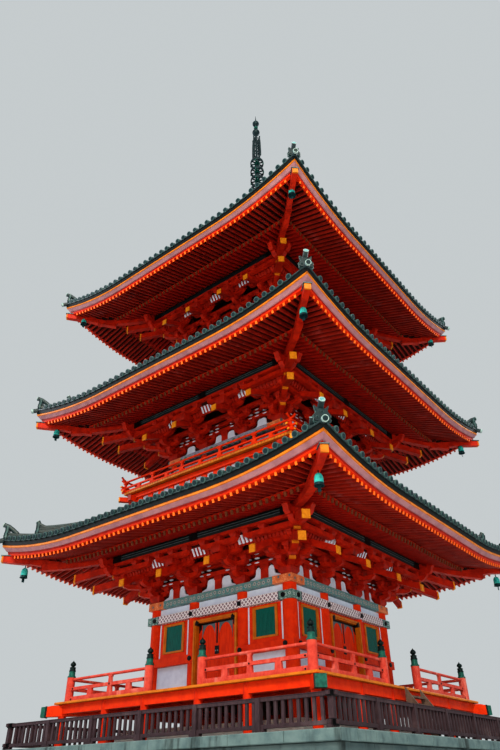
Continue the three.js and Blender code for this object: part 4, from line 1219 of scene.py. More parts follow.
@dataclass
class FirstBody:
    """Columns, rails, panels, windows and the painted beams of the first storey."""

    column: float = 2.575
    inner: float = 0.947
    radius: float = 0.195
    wall_out: float = 2.645
    wall_in: float = 2.505
    rail_out: float = 2.78
    beam_out: float = 2.798
    foot: float = 1.6003
    deck: float = 2.3413
    wall_foot: float = 2.141
    wall_top: float = 4.911
    sill_top: float = 2.521
    rail: Span = (3.232, 3.459)
    beam: Span = (4.468, 4.695)
    plate_top: float = 5.131
    bay: Span = (1.3247, 2.1853)
    window: float = 1.755
    window_z: Span = (3.591, 4.425)
    slats: int = 15
    slat_pitch: float = 0.045

    def walls(self) -> None:
        """Round columns, boards, sill, waist rail and beams of the four corners."""
        shape, side, top, lo, hi = Shape(), Shape(), self.wall_top, self.inner, self.column
        for x in (-lo, lo, hi):
            profile = [(0, self.foot), (self.radius, self.foot), (self.radius, top), (0, top)]
            shape.turned(profile, x, hi, Paint.BRIGHT, 28)
        back, thin, out, foot, beam = self.wall_in, self.wall_in + 0.04, self.wall_out, self.wall_foot, self.beam
        (low, high), (rail_low, rail_top) = self.window_z, self.rail
        for z in ((foot, low - 0.001), (high + 0.001, top)):
            side.box((lo, hi), (back, thin), z, Paint.VERMILION)
        for x in ((lo, self.bay[0]), (self.bay[1], hi)):
            side.box(x, (back, out), (rail_top, beam[0]), Paint.BRIGHT)
        for z in ((rail_top, low - HAIR), (high + HAIR, beam[0])):
            side.box(self.bay, (thin, out), z, Paint.BRIGHT)
        for x in ((1.15, 1.20), (2.31, 2.36)):
            side.box(x, (out, out + 0.006), (rail_top + 0.006, beam[0] - 0.006), Paint.WHITE)
        side.box((lo, hi), (thin, out), (foot, 2.5), Paint.VERMILION)
        side.box((1.12, 2.4), (thin, out), (self.sill_top, rail_low), Paint.WHITE)
        for start, z in ((lo, (self.deck, self.sill_top)), (0.8303, self.rail)):
            side.box((start, 2.3), (back, self.rail_out), z, Paint.BRIGHT)
            side.mitred(2.3, (back, self.rail_out), z, Paint.BRIGHT)
        side.box((lo, hi), (thin, out), (beam[1], top), Paint.WHITE)
        side.box((0.77, 2.34), (thin, self.beam_out), beam, Paint.LATTICE)
        side.mitred(2.34, (2.55, self.beam_out), beam, Paint.GREEN_END)
        side.box((2.325, 2.355), (2.56, 2.8015), (beam[0] - 0.002, beam[1] + 0.002), Paint.HOOD)
        shape.take(side.mirrored()).around().piece("wall_timbers", "vermilion", *(f"wall_{name}" for name in CORNERS))

    def fittings(self) -> None:
        """Nail covers on the waist rail, the sill and the painted beam."""
        guide = Guide()
        for x in (-2.5, -self.inner, self.inner, 2.5):
            for r, z in ((self.rail_out, 3.352), (self.rail_out, 2.43), (self.beam_out, 4.58)):
                guide.mark((x, r, z), (0, 1, 0))
        Studs.grow("nail_covers", guide.around(), "vermilion", Radius=0.066, Depth=0.03, Sides=12, Inset=0.45,
                   Rim=Paint.IRON, Heart=Paint.IRON)

    def windows(self) -> None:
        """Slatted windows in moulded ochre frames."""
        frames, slats, (z0, z1), edge, pitch = Shape(), Guide(), self.window_z, 0.05, self.slat_pitch
        for centre in (-self.window, self.window):
            for inset, out in ((0.0, 2.668), (0.045, 2.655)):
                low, high = z0 + inset * 0.6, z1 - inset * 0.6
                left, right = about(centre, 0.43 - inset)
                for x in ((left, left + edge), (right - edge, right)):
                    frames.box(x, (2.52, out), (low, high), Paint.OCHRE)
                for z in ((low, low + 0.03), (high - 0.03, high)):
                    frames.box((left, right), (2.52, out - 0.002), z, Paint.OCHRE)
            frames.box(about(centre, 0.37), (2.52, 2.565), (z0 + 0.02, z1 - 0.02), Paint.SHADOW)
            for i in range(self.slats):
                x = centre + (i - (self.slats - 1) / 2) * pitch
                slats.mark((x, 2.6, z0 + 0.04), (0, 0, z1 - z0 - 0.08), (0.001, 1, 0))
        nodes = [f"window_{face}_{side}" for face in FACES for side in "ab"]
        frames.around().piece("window_frames", "ochre_lacquer", *nodes)
        Laths.grow("window_slats", slats.around(), "green_lacquer", *nodes, Width=0.034, Depth=0.032, Wood=Paint.GREEN)

    def plate(self) -> None:
        """The painted wall plate with orange ends."""
        shape, side, r, z = Shape(), Shape(), (2.352, self.beam_out), (self.wall_top + HAIR, self.plate_top)
        shape.box((-2.15, 2.15), r, z, Paint.PLATE)
        side.mitred(2.15, r, z, Paint.PLATE_END)
        shape.take(side.mirrored()).around().piece("painted_plate", "painted_plate", "first_plate")

    def build(self) -> None:
        """Builds the storey's walls from the floor to the plate."""
        self.walls()
        self.fittings()
        self.windows()
        self.plate()


@dataclass
class Doors:
    """Ochre door frames and vermilion leaves with black fittings."""

    inner: float = 0.74
    outer: float = 0.83
    step: float = 0.035
    proud: float = 2.789
    deck: float = 2.3413
    bottom: float = 2.521
    top: float = 4.276
    head: float = 4.366
    wall_foot: float = 2.141
    wall_top: float = 4.911
    frame_back: float = 2.6
    line: float = 2.625
    thick: float = 0.05
    clear: float = 0.006
    pin: float = 0.0145

    def portal(self) -> None:
        """The moulded frames, the boards over them and the beam across."""
        shape, board, head, back = Shape(), (-0.747, 0.747), self.top - self.inner, self.frame_back
        middle = self.inner + self.step
        for wide, narrow, out in ((self.outer, middle, self.proud), (middle, self.inner, 2.76)):
            for x in ((narrow, wide), (-wide, -narrow)):
                shape.box(x, (back, out), (self.deck, head + narrow), Paint.OCHRE)
            shape.box((-wide, wide), (back, out), (head + narrow, head + wide), Paint.OCHRE)
        shape.box((-self.outer, self.outer), (back, 2.785), (self.deck, self.bottom), Paint.BRIGHT)
        for z, paint in (
            ((self.wall_foot, self.bottom - 0.001), Paint.VERMILION), ((self.top + 0.02, 4.5), Paint.VERMILION),
            ((4.5, self.wall_top), Paint.WHITE),
        ):
            shape.box(board, (2.505, 2.645), z, paint)
        shape.box(board, (2.52, 2.797), (4.468, 4.6945), Paint.LATTICE)
        for x in (-0.69, 0.69):
            a, b = about(x, 0.055)
            shape.outward([(a, self.head - 0.15), (b, self.head - 0.15), (b, self.head - 0.07), (x, self.head),
                           (a, self.head - 0.07)], (2.58, 2.798), Paint.IRON)
            shape.box(about(x, 0.05), (back, 2.8), (2.45, self.bottom + 0.004), Paint.IRON)
        shape.around().piece("portals", "ochre_lacquer", *(f"door_frame_{face}" for face in FACES))

    def fittings(self, shape: Shape, x0: float, x1: float, z0: float, z1: float, front: float) -> None:
        """Arched corner plates and black bands, straps and knob of a leaf.

        Args:
            shape: The leaf.
            x0: Its edge at the middle.
            x1: Its pivot's edge.
            z0: Its foot.
            z1: Its head.
            front: Radius of its face.
        """
        a, b, high = x0 + 0.055, x0 + 0.575, z1 - 0.02
        middle, rise, peak = (a + b) / 2, 0.44, 0.05
        turns = [math.pi / 2 * i / 9 for i in range(1, 10)]
        for edge in (a, b):
            curve = [(edge + (middle - edge) * (1 - math.cos(turn)), high - peak - rise * (1 - math.sin(turn)))
                     for turn in turns]
            shape.outward([(edge, high), (edge, high - peak - rise), *curve, (middle, high)],
                          (front - 0.013, front - 0.0005), Paint.GREY_METAL)
        for low, tall in ((z0, 0.06), (z1 - 0.05, 0.05)):
            shape.box((x0, x1 - 0.01), (front - 0.001, front + 0.004), (low, low + tall), Paint.IRON)
        shape.box((x0, x0 + 0.022), (front, front + 0.006), (z1 - 0.6, z1 - 0.05), Paint.IRON)
        for edge, towards, z, way in ((x0, 1, z0, 1), (x1 - 0.004, -1, z0, 1), (x1 - 0.004, -1, z1, -1)):
            strap = [(0.0, 0.0), (0.1, 0.0), (0.1, 0.156), (0.05, 0.208), (0.03, 0.26), (0.0, 0.26)]
            outline = [(edge + towards * x, z + way * h) for x, h in strap]
            shape.outward(outline, (front - 0.001, front + 0.005), Paint.IRON)
        shape.box((x0, x0 + 0.075), (front, front + 0.009), (3.38, 3.6), Paint.IRON)
        shape.rod([(x0 + 0.035, front, 3.47), (x0 + 0.035, front + 0.02, 3.47)], 0.022, Paint.GREY_METAL)

    def leaf(self, sign: int, hung: bool) -> Shape:
        """One leaf on the front: board, rails, pivots and fittings.

        Args:
            sign: -1 for the left leaf and 1 for the right one.
            hung: True for a leaf that turns on its pins.

        Returns:
            The drawn leaf.
        """
        shape, pivot = Shape(), self.inner - self.clear - self.thick / 2
        x0, x1, z0, z1 = self.clear / 2, pivot, self.bottom + self.clear, self.top - self.clear
        back, front = about(self.line, self.thick / 2)
        for x, out, z in (
            ((x0, x1), front - 0.012, (z0, z1)), ((x0, x0 + 0.075), front, (z0, z1)),
            ((x1 - 0.11, x1), front, (z0, z1)),
            ((x0 + 0.075, x1 - 0.075), front - 0.002, (z0, z0 + 0.22)),
            ((x0 + 0.075, x1 - 0.075), front - 0.002, (z1 - 0.03, z1)),
        ):
            shape.box(x, (back, out), z, Paint.DOOR)
        turned = [(self.thick / 2, z0, z1, Paint.DOOR, 12)]
        if hung:
            turned += [(self.pin, z - 0.03 - side * 0.02, z + 0.03 - side * 0.02, Paint.IRON, 10)
                       for z, side in ((z0, 1), (z1, -1))]
        for radius, low, high, paint, sides in turned:
            shape.turned([(0, low), (radius, low), (radius, high), (0, high)], pivot, self.line, paint, sides)
        self.fittings(shape, x0, x1, z0, z1, front)
        if sign < 0:
            shape.drawn = [(-x, y, z) for x, y, z in shape.drawn]
            shape.placed = list(shape.drawn)
        return shape

    def build(self) -> None:
        """Builds the portals, the four hung leaves and the closed doors."""
        self.portal()
        for index, face in enumerate(FACES[:2]):
            for side, sign in (("a", -1), ("b", 1)):
                self.leaf(sign, True).onto(index).piece(
                    f"leaf_{face}_{side}", "door_vermilion", f"door_{face}_{side}", body=f"{face}_leaf_{side}")
        for index, face in enumerate(FACES[2:], 2):
            self.leaf(-1, False).take(self.leaf(1, False)).onto(index).piece(
                f"closed_doors_{face}", "door_vermilion", f"doors_{face}")


# ---------------------------------------------------------------- storeys


@dataclass
class Storey:
    """Sizes of one storey, from its columns to the tiles over it."""

    name: str
    column: float
    inner: float
    plate_top: float
    purlin: float
    purlin_top: float
    tail: float
    eave: float
    strip: float
    lift: float
    roof_rise: float
    roof_inner: float
    eaves_inner: float
    bell: float
    floor_top: float = 0.0
    floor_half: float = 0.0
    sill_bottom: float = 0.0
    wall_base: float = 0.0

    @property
    def base_end(self) -> float:
        """Radius of the lower rafters' tips."""
        return self.purlin + 0.46 * (self.eave - self.purlin)

    @property
    def outer(self) -> float:
        """Radius of the tiles' edge."""
        return self.eave + 0.07

    def rise(self, r: float, along: float) -> float:
        """Lift towards the corner.

        Args:
            r: Radius, square to the face.
            along: Distance along the face from its middle.

        Returns:
            The lift, which is 0 at mid face.
        """
        out = max(0.0, (r - self.purlin - 0.1) / (self.eave - self.purlin - 0.1))
        share = max(0.0, (along / self.eave - 0.42) / 0.58)
        return self.lift * out * share ** 1.9

    def solid_under(self, r: float) -> float:
        """Underside of the eaves' solid at mid face.

        Args:
            r: Radius, square to the face.

        Returns:
            Its height.
        """
        middle = self.purlin + 0.5 * (self.eave - self.purlin)
        drop = self.purlin_top + 0.13 - (self.strip - 0.261)
        slope = drop / (middle - self.purlin + 0.9 * (self.eave - 0.2 - middle))
        return self.purlin_top - slope * (r - self.purlin - 0.1)

    def base_under(self, r: float) -> float:
        """Underside of the lower rafters at mid face."""
        start, end = self.purlin + 0.1, self.solid_under(self.base_end) - 0.05
        return self.purlin_top + (end - self.purlin_top) * (r - start) / (self.base_end - start)

    def flying_under(self, r: float) -> float:
        """Underside of the upper, flying rafters at mid face."""
        start, end = self.base_under(self.base_end) + 0.17, self.strip - 0.265
        return start + (end - start) * (r - self.base_end) / (self.eave - 0.2 - self.base_end)

    def tiles(self, r: float) -> float:
        """Height of the tiles at mid face."""
        reach = self.outer - self.roof_inner
        share = (self.outer - r) / reach
        return self.strip + 0.31 + self.roof_rise * reach * (0.74 * share + 0.26 * share * share)

    def crest(self, r: float) -> float:
        """Height of the tiles on the hip."""
        return self.tiles(r) + self.rise(r, r)


STOREYS = (
    Storey("first", 2.575, 0.947, 5.131, 3.703, 6.605, 4.24, 6.301, 6.391, 0.49, 0.42, 2.5553, 2.5, -0.619),
    Storey("second", 2.36, 0.905, 10.192, 3.542, 11.693, 4.04, 6.136, 11.372, 0.51, 0.455, 2.2853, 2.23, -0.477,
           8.929, 3.635, 8.076, 6.9036),
    Storey("third", 2.09, 0.812, 15.434, 3.265, 16.92, 3.78, 5.919, 16.486, 0.65, 0.73, 0.4, 1.99, -0.268,
           14.171, 3.365, 13.2345, 12.062),
)


@dataclass
class BracketTier:
    """Three-stepped brackets with tail rafters that carry the eave purlin."""

    storey: Storey
    width: float = 0.15
    short: float = 0.46
    first: Span = (0.2, 0.35)
    second: Span = (0.46, 0.6)
    third: Span = (0.72, 0.86)
    fourth: Span = (0.98, 1.12)
    block: float = 0.125
    strut: float = 0.125
    rib_pitch: float = 0.135
    saddle: float = 0.1
    purlin_height: float = 0.22
    beam_half: float = 0.07
    tail_half: float = 0.085
    tail_deep: float = 0.1
    tail_slope: float = 0.45
    tail_end: float = 0.371
    block_width: float = 0.24
    foot_size: Span = (0.44, 0.235)

    @property
    def columns(self) -> tuple[float, ...]:
        """Places of the bracket sets across the face."""
        s = self.storey
        return (-s.column, -s.inner, s.inner, s.column)

    @property
    def bays(self) -> list[Span]:
        """The lengths between the bracket sets."""
        return list(zip(self.columns, self.columns[1:]))

    @property
    def steps(self) -> Point:
        """Radius of each step out from the wall.

        Returns:
            The two steps on the way and the purlin's.
        """
        s = self.storey
        reach = s.purlin - s.column
        return (s.column + reach / 3, s.column + 2 * reach / 3, s.purlin)

    def arm(self, shape: Shape, x: float, r: float, z: Span, ends: Span) -> None:
        """A bracket arm along the face; an end longer than its own width is rounded up from below.

        Args:
            shape: The shape that is drawn on.
            x: Middle of the set that it belongs to.
            r: Its distance from the axis.
            z: Its lower and upper height above the plate.
            ends: Its reach to the left and to the right.
        """
        low, high = (self.storey.plate_top + h for h in z)
        outline = []
        for side, reach in zip((-1, 1), ends):
            bend = [(0.2, 0.0), (0.11, 0.1), (0.04, 0.36), (0.0, 0.72)] if reach >= 0.2 else [(0.0, 0.0)]
            points = [(x + side * (reach - off), low + share * (high - low)) for off, share in bend]
            outline += [*points, (x + side * reach, high)][::side]
        shape.outward(outline, about(r, self.width / 2), Paint.ARM)

    def reaching_arm(self, shape: Shape, x: float, reach: float, z: Span) -> None:
        """An arm that reaches outwards from the wall and is rounded up at its end.

        Args:
            shape: The shape that is drawn on.
            x: Middle of the arm.
            reach: Radius of its end.
            z: Its lower and upper height above the plate.
        """
        (low, high), start = (self.storey.plate_top + h for h in z), self.storey.column - 0.1
        outline = [(start, low), (reach - 0.18, low), (reach - 0.07, low + 0.03), (reach, low + 0.09), (reach, high),
                   (start, high)]
        shape.across(outline, about(x, self.width / 2), Paint.ARM)

    def set_of_arms(self, shape: Shape, blocks: Guide, x: float, r: float, z: Span, half: float) -> None:
        """A parallel arm with its three bearing blocks; at a corner it runs on across the diagonal.

        Args:
            shape: The shape that is drawn on.
            blocks: Guide of the bearing blocks.
            x: Middle of the set.
            r: Its distance from the axis.
            z: Heights of the arm above the plate.
            half: Half of its length.
        """
        column = self.storey.column
        if abs(x) < column:
            ends, shifts = (half, half), (-half + 0.09, 0.0, half - 0.09)
        elif r == column:
            ends, shifts = (half, 0.1), (-half + 0.09, 0.0)
        else:
            past = r - column + 0.26
            ends, shifts = (half, past), (-half + 0.09, 0.0, past - 0.09)
        if x == -column:
            ends, shifts = ends[::-1], tuple(-shift for shift in shifts[:1 if r == column else 3])
        self.arm(shape, x, r, z, ends)
        for shift in shifts:
            blocks.mark((x + shift, r, self.storey.plate_top + z[1]), (1, 0, 0))

    def build(self) -> None:
        """Builds arms, blocks, tails, the purlin and the corner sets."""
        s, base, node = self.storey, self.storey.plate_top, f"{self.storey.name}_brackets"
        (one, two, _), shape, blocks, feet = self.steps, Shape(), Guide(), Guide()
        for x in self.columns:
            for r, z, half in ((s.column, self.first, self.short), (one, self.second, self.short),
                               (two, self.third, self.short + 0.06)):
                self.set_of_arms(shape, blocks, x, r, z, half)
            for r, z in ((one, self.first), (two, self.second)):
                self.reaching_arm(shape, x, r + 0.1, z)
                blocks.mark((x, r, base + z[1]), (1, 0, 0))
            if x > -s.column:
                feet.mark((x, s.column, base + HAIR), (1, 0, 0))
            self.tail(shape, blocks, x)
        self.beams(shape)
        self.corner_set(shape, blocks)
        shape.around(LAP).piece(f"{s.name}_bracket_arms", "soffit_red", node)
        for name, guide, (width, height) in (
            ("bearing", blocks, (self.block_width, self.block)), ("foot", feet, self.foot_size),
        ):
            BearingBlocks.grow(f"{s.name}_{name}_blocks", guide.around(), "soffit_red", node,
                               Width=width, Height=height, Wood=Paint.BLOCK)
        self.purlin()
        self.panels()
        self.ribs()

    def tail(self, shape: Shape, blocks: Guide, x: float) -> None:
        """A tail rafter with its painted end, and the arm that it carries under the purlin.

        Args:
            shape: The shape that is drawn on.
            blocks: Guide of the bearing blocks.
            x: Middle of the set.
        """
        s, three, half = self.storey, self.steps[2], self.tail_half
        start, end, top = (self.tail_end + self.tail_slope * (s.tail - r) + s.plate_top
                           for r in (s.column, s.tail, three))
        tip, deep = s.tail, self.tail_deep
        shape.across([(s.column, start - deep), (tip, end - deep), (tip, end + deep), (s.column, start + deep)],
                     about(x, half), Paint.ARM)
        shape.across([(tip - 0.03, end - 0.105), (tip + 0.012, end - 0.118), (tip + 0.012, end + 0.098),
                      (tip - 0.03, end + 0.125)], about(x, half + 0.006), Paint.CAP)
        arm = s.purlin_top - self.purlin_height - self.saddle - self.block - self.width - s.plate_top
        if abs(x) < s.column:
            seat = top + 0.09
            blocks.mark((x, three, seat), (1, 0, 0), girth=(arm + s.plate_top - seat) / self.block)
        self.set_of_arms(shape, blocks, x, three, (arm, arm + self.width), 0.68)

    def beams(self, shape: Shape) -> None:
        """Beams that run round the building over the arms, with boards that close the space above them.

        Args:
            shape: The shape that is drawn on.
        """
        s, base, (one, two, three) = self.storey, self.storey.plate_top, self.steps
        for r, z in ((s.column, self.second), (s.column, self.third), (s.column, self.fourth), (one, self.third),
                     (two, self.fourth)):
            shape.run(rect(*about(r, self.beam_half), base + z[0], base + z[1]), Paint.ARM)
        top = s.purlin_top - self.purlin_height
        shape.run(rect(*about(three, self.beam_half), top - self.saddle, top - 0.0005), Paint.ARM)
        shape.run(rect(s.column - 0.1, s.column - 0.02, base + 0.003, s.solid_under(s.column)), Paint.SHADOW)
        for inner, outer, z in ((s.column, one, 0.872), (one, two, 1.125)):
            shape.run(rect(inner + self.beam_half, outer - self.beam_half, base + z, base + z + 0.02), Paint.SHADOW)

    def corner_set(self, shape: Shape, blocks: Guide) -> None:
        """Arms and the two tails on the diagonal of the front right corner.

        Args:
            shape: The shape that is drawn on.
            blocks: Guide of the bearing blocks.
        """
        s, base, back, (one, two, three) = self.storey, self.storey.plate_top, self.storey.column, self.steps
        for reach, z in ((one + 0.1, self.first), (two + 0.1, self.second), (three - 0.02, self.third)):
            low, high = (base + h + 0.0004 for h in z)
            shape.slanted([(back - 0.1, low), (reach - 0.12, low), (reach, low + 0.08), (reach, high),
                           (back - 0.1, high)], 0.18, Paint.ARM)
            shape.slanted([(reach - 0.02, low + 0.065), (reach + 0.01, low + 0.085), (reach + 0.01, high + 0.004),
                           (reach - 0.02, high + 0.004)], 0.188, Paint.OCHRE)
        for r, z in ((one, self.first), (one, self.second), (two, self.second), (two, self.third)):
            blocks.mark((r, r, base + z[1] + 0.001), (1, 1, 0), girth=1.06)
        upper = (s.tail * 1.071, 0.751, 0.42)
        for tip, centre, slope in (upper, (s.tail * 0.964, 0.418, 0.45)):
            z, start = base + centre, base + centre + slope * (tip - back)
            shape.slanted([(back, start - 0.11), (tip, z - 0.11), (tip, z + 0.11), (back, start + 0.11)], 0.2,
                          Paint.ARM)
            shape.slanted([(tip - 0.025, z - 0.115), (tip + 0.01, z - 0.125), (tip + 0.01, z + 0.115),
                           (tip - 0.025, z + 0.13)], 0.212, Paint.CAP)
        z, top = base + upper[1] + 0.3, s.purlin_top - 0.1
        shape.slanted([(three - 0.12, z), (three + 0.14, z - 0.04), (three + 0.14, top), (three - 0.12, top)], 0.24,
                      Paint.ARM)
        cloud = [(0.0, -0.42), (0.14, -0.46), (0.26, -0.4), (0.32, -0.3), (0.4, -0.3), (0.48, -0.22), (0.5, -0.12),
                 (0.56, -0.06), (0.56, 0.04), (0.48, 0.1), (0.4, 0.02), (0.34, -0.06), (0.24, -0.02), (0.2, 0.06),
                 (0.0, 0.06)]
        flat = [(three + 0.02 + a, top + b) for a, b in cloud]
        shape.loft([[(three + side, -r, z) for r, z in flat] for side in (-0.09, 0.09)], Paint.ARM)
        shape.loft([[(r, -three + side, z + 0.0006) for r, z in flat] for side in (-0.09, 0.09)], Paint.ARM)

    def purlin(self) -> None:
        """The painted eave purlin with fine lines along it and black fittings at its middle and ends."""
        s, shape, side, high = self.storey, Shape(), Shape(), self.storey.purlin_top
        inner, outer, low = s.purlin - 0.1, s.purlin + 0.1, high - self.purlin_height
        shape.run([(inner, low), (outer - 0.02, low), (outer, low + 0.03), (outer, high - 0.03), (outer - 0.02, high),
                   (inner, high)], Paint.PURLIN)
        if s.name != "third":
            for k in (1, 2):
                shape.run(rect(outer - 0.01, outer + 0.004, *about(low + 0.073 * k, 0.007)), Paint.FINE_LINE)
                shape.run(rect(*about(inner + 0.066 * k, 0.007), low - 0.004, low + 0.01), Paint.FINE_LINE)
            for half, below in ((0.17, 0.006), (0.11, 0.012)):
                shape.box((-half, half), (inner + 0.01, outer + below), (low - below, high - 0.01), Paint.IRON)
        side.mitred(outer - 0.5, (inner + 0.01, outer + 0.006), (low - 0.006, high - 0.01), Paint.IRON)
        side.box((outer - 0.58, outer - 0.49), (inner + 0.01, outer + 0.009), (low - 0.009, high - 0.012), Paint.IRON)
        shape.take(side.mirrored()).around().piece(f"{s.name}_purlin", "painted_plate", f"{s.name}_brackets")

    def panels(self) -> None:
        """Struts between the sets, with white plaster beside them, and white lens shapes between the arms."""
        s, shape, wood, base, tall = self.storey, Shape(), Shape(), self.storey.plate_top + HAIR, 0.4
        for a, b in self.bays:
            middle, gap = (a + b) / 2, (b - a) / 2 - self.short - 0.02
            inside = self.strut if gap > 0.3 else 0.0
            wide, foot = gap - inside if inside else gap * 0.74, gap - inside + self.short - 0.2
            outline = [(0.0, 0.0), (foot, 0.0), (foot - 0.05, 0.09), (wide + 0.03, 0.15), (wide, 0.22),
                       (wide, tall - 0.1)]
            outline += [(wide - 0.1 + 0.1 * math.cos(t), tall - 0.1 + 0.1 * math.sin(t))
                        for t in (0.5, 1.0, math.pi / 2)]
            if inside:
                wood.box(about(middle, inside), (s.column - 0.05, s.column + 0.075), (base, base + 0.34), Paint.ARM)
                wood.box(about(middle, 0.15), (s.column - 0.06, s.column + 0.09), (base + 0.34, base + 0.459),
                         Paint.BLOCK)
                outline += [(min(0.1, wide / 2), tall), (0.03, tall - 0.03), (0.0, tall - 0.1)]
            else:
                outline.append((0.0, tall))
            for sign in (-1, 1):
                shape.outward([(middle + sign * (inside + x), base + z) for x, z in outline],
                              (s.column - 0.01, s.column + 0.03), Paint.WHITE)
        lens = [(-0.09, 0.0), (-0.045, -0.019), (0.045, -0.019), (0.09, 0.0), (0.045, 0.021), (-0.045, 0.021)]
        room = min(b - a for a, b in self.bays) / 2 - 0.11
        places = [(column + sign * off, height) for column in self.columns for sign in (-1, 1)
                  for off, heights in ((0.27, (0.54, 0.67)), (0.56, (0.54, 0.67, 0.8)))
                  if sign * column != s.column and off <= room for height in heights]
        for place, height in places:
            shape.outward([(place + x, base + height + z) for x, z in lens], (s.column + 0.04, s.column + 0.082),
                          Paint.WHITE)
        wood.around(0.0006).piece(f"{s.name}_struts", "soffit_red", f"{s.name}_brackets")
        shape.around().piece(f"{s.name}_white_panels", "plaster", f"{s.name}_brackets")

    def ribs(self) -> None:
        """Close red ribs on a white board, leaning out from the inner beam to the purlin."""
        s, shape, guide, strips = self.storey, Shape(), Guide(), Guide()
        low = (self.steps[1] + 0.1, s.plate_top + self.third[1] - 0.03)
        high = (low[0] + 0.16, s.plate_top + self.fourth[1] - 0.02)
        far = (self.steps[2] - 0.05, s.purlin_top - self.purlin_height)
        for a, b, paint in ((low, high, Paint.ARM), (high, far, Paint.SHADOW)):
            shape.run([a, b, (b[0] - 0.03, b[1] + 0.02), (a[0] - 0.03, a[1] + 0.02)], paint)
        shape.around().piece(f"{s.name}_rib_board", "plaster", f"{s.name}_brackets")
        out, up = high[0] - low[0], high[1] - low[1]
        count = int(low[0] / self.rib_pitch)
        for i in range(-count, count):
            guide.mark(((i + 0.5) * self.rib_pitch, low[0] + 0.03, low[1] - 0.02), (0, out, up), (0, -1, 1))
        for a, b in self.bays:
            for i in range(4):
                foot = ((a + b) / 2 + (i - 1.5) * self.rib_pitch, low[0] + 0.032 + 0.2 * out, low[1] - 0.021 + 0.2 * up)
                strips.mark(foot, (0, 0.78 * out, 0.78 * up), (0, -1, 1), 0.75)
        Laths.grow(f"{s.name}_ribs", guide.around(), "soffit_red", f"{s.name}_brackets",
                   Width=0.08, Depth=0.035, Wood=Paint.BLOCK)
        Laths.grow(f"{s.name}_rib_gaps", strips.around(), "plaster", f"{s.name}_brackets",
                   Width=0.07, Depth=0.05, Wood=Paint.WHITE)


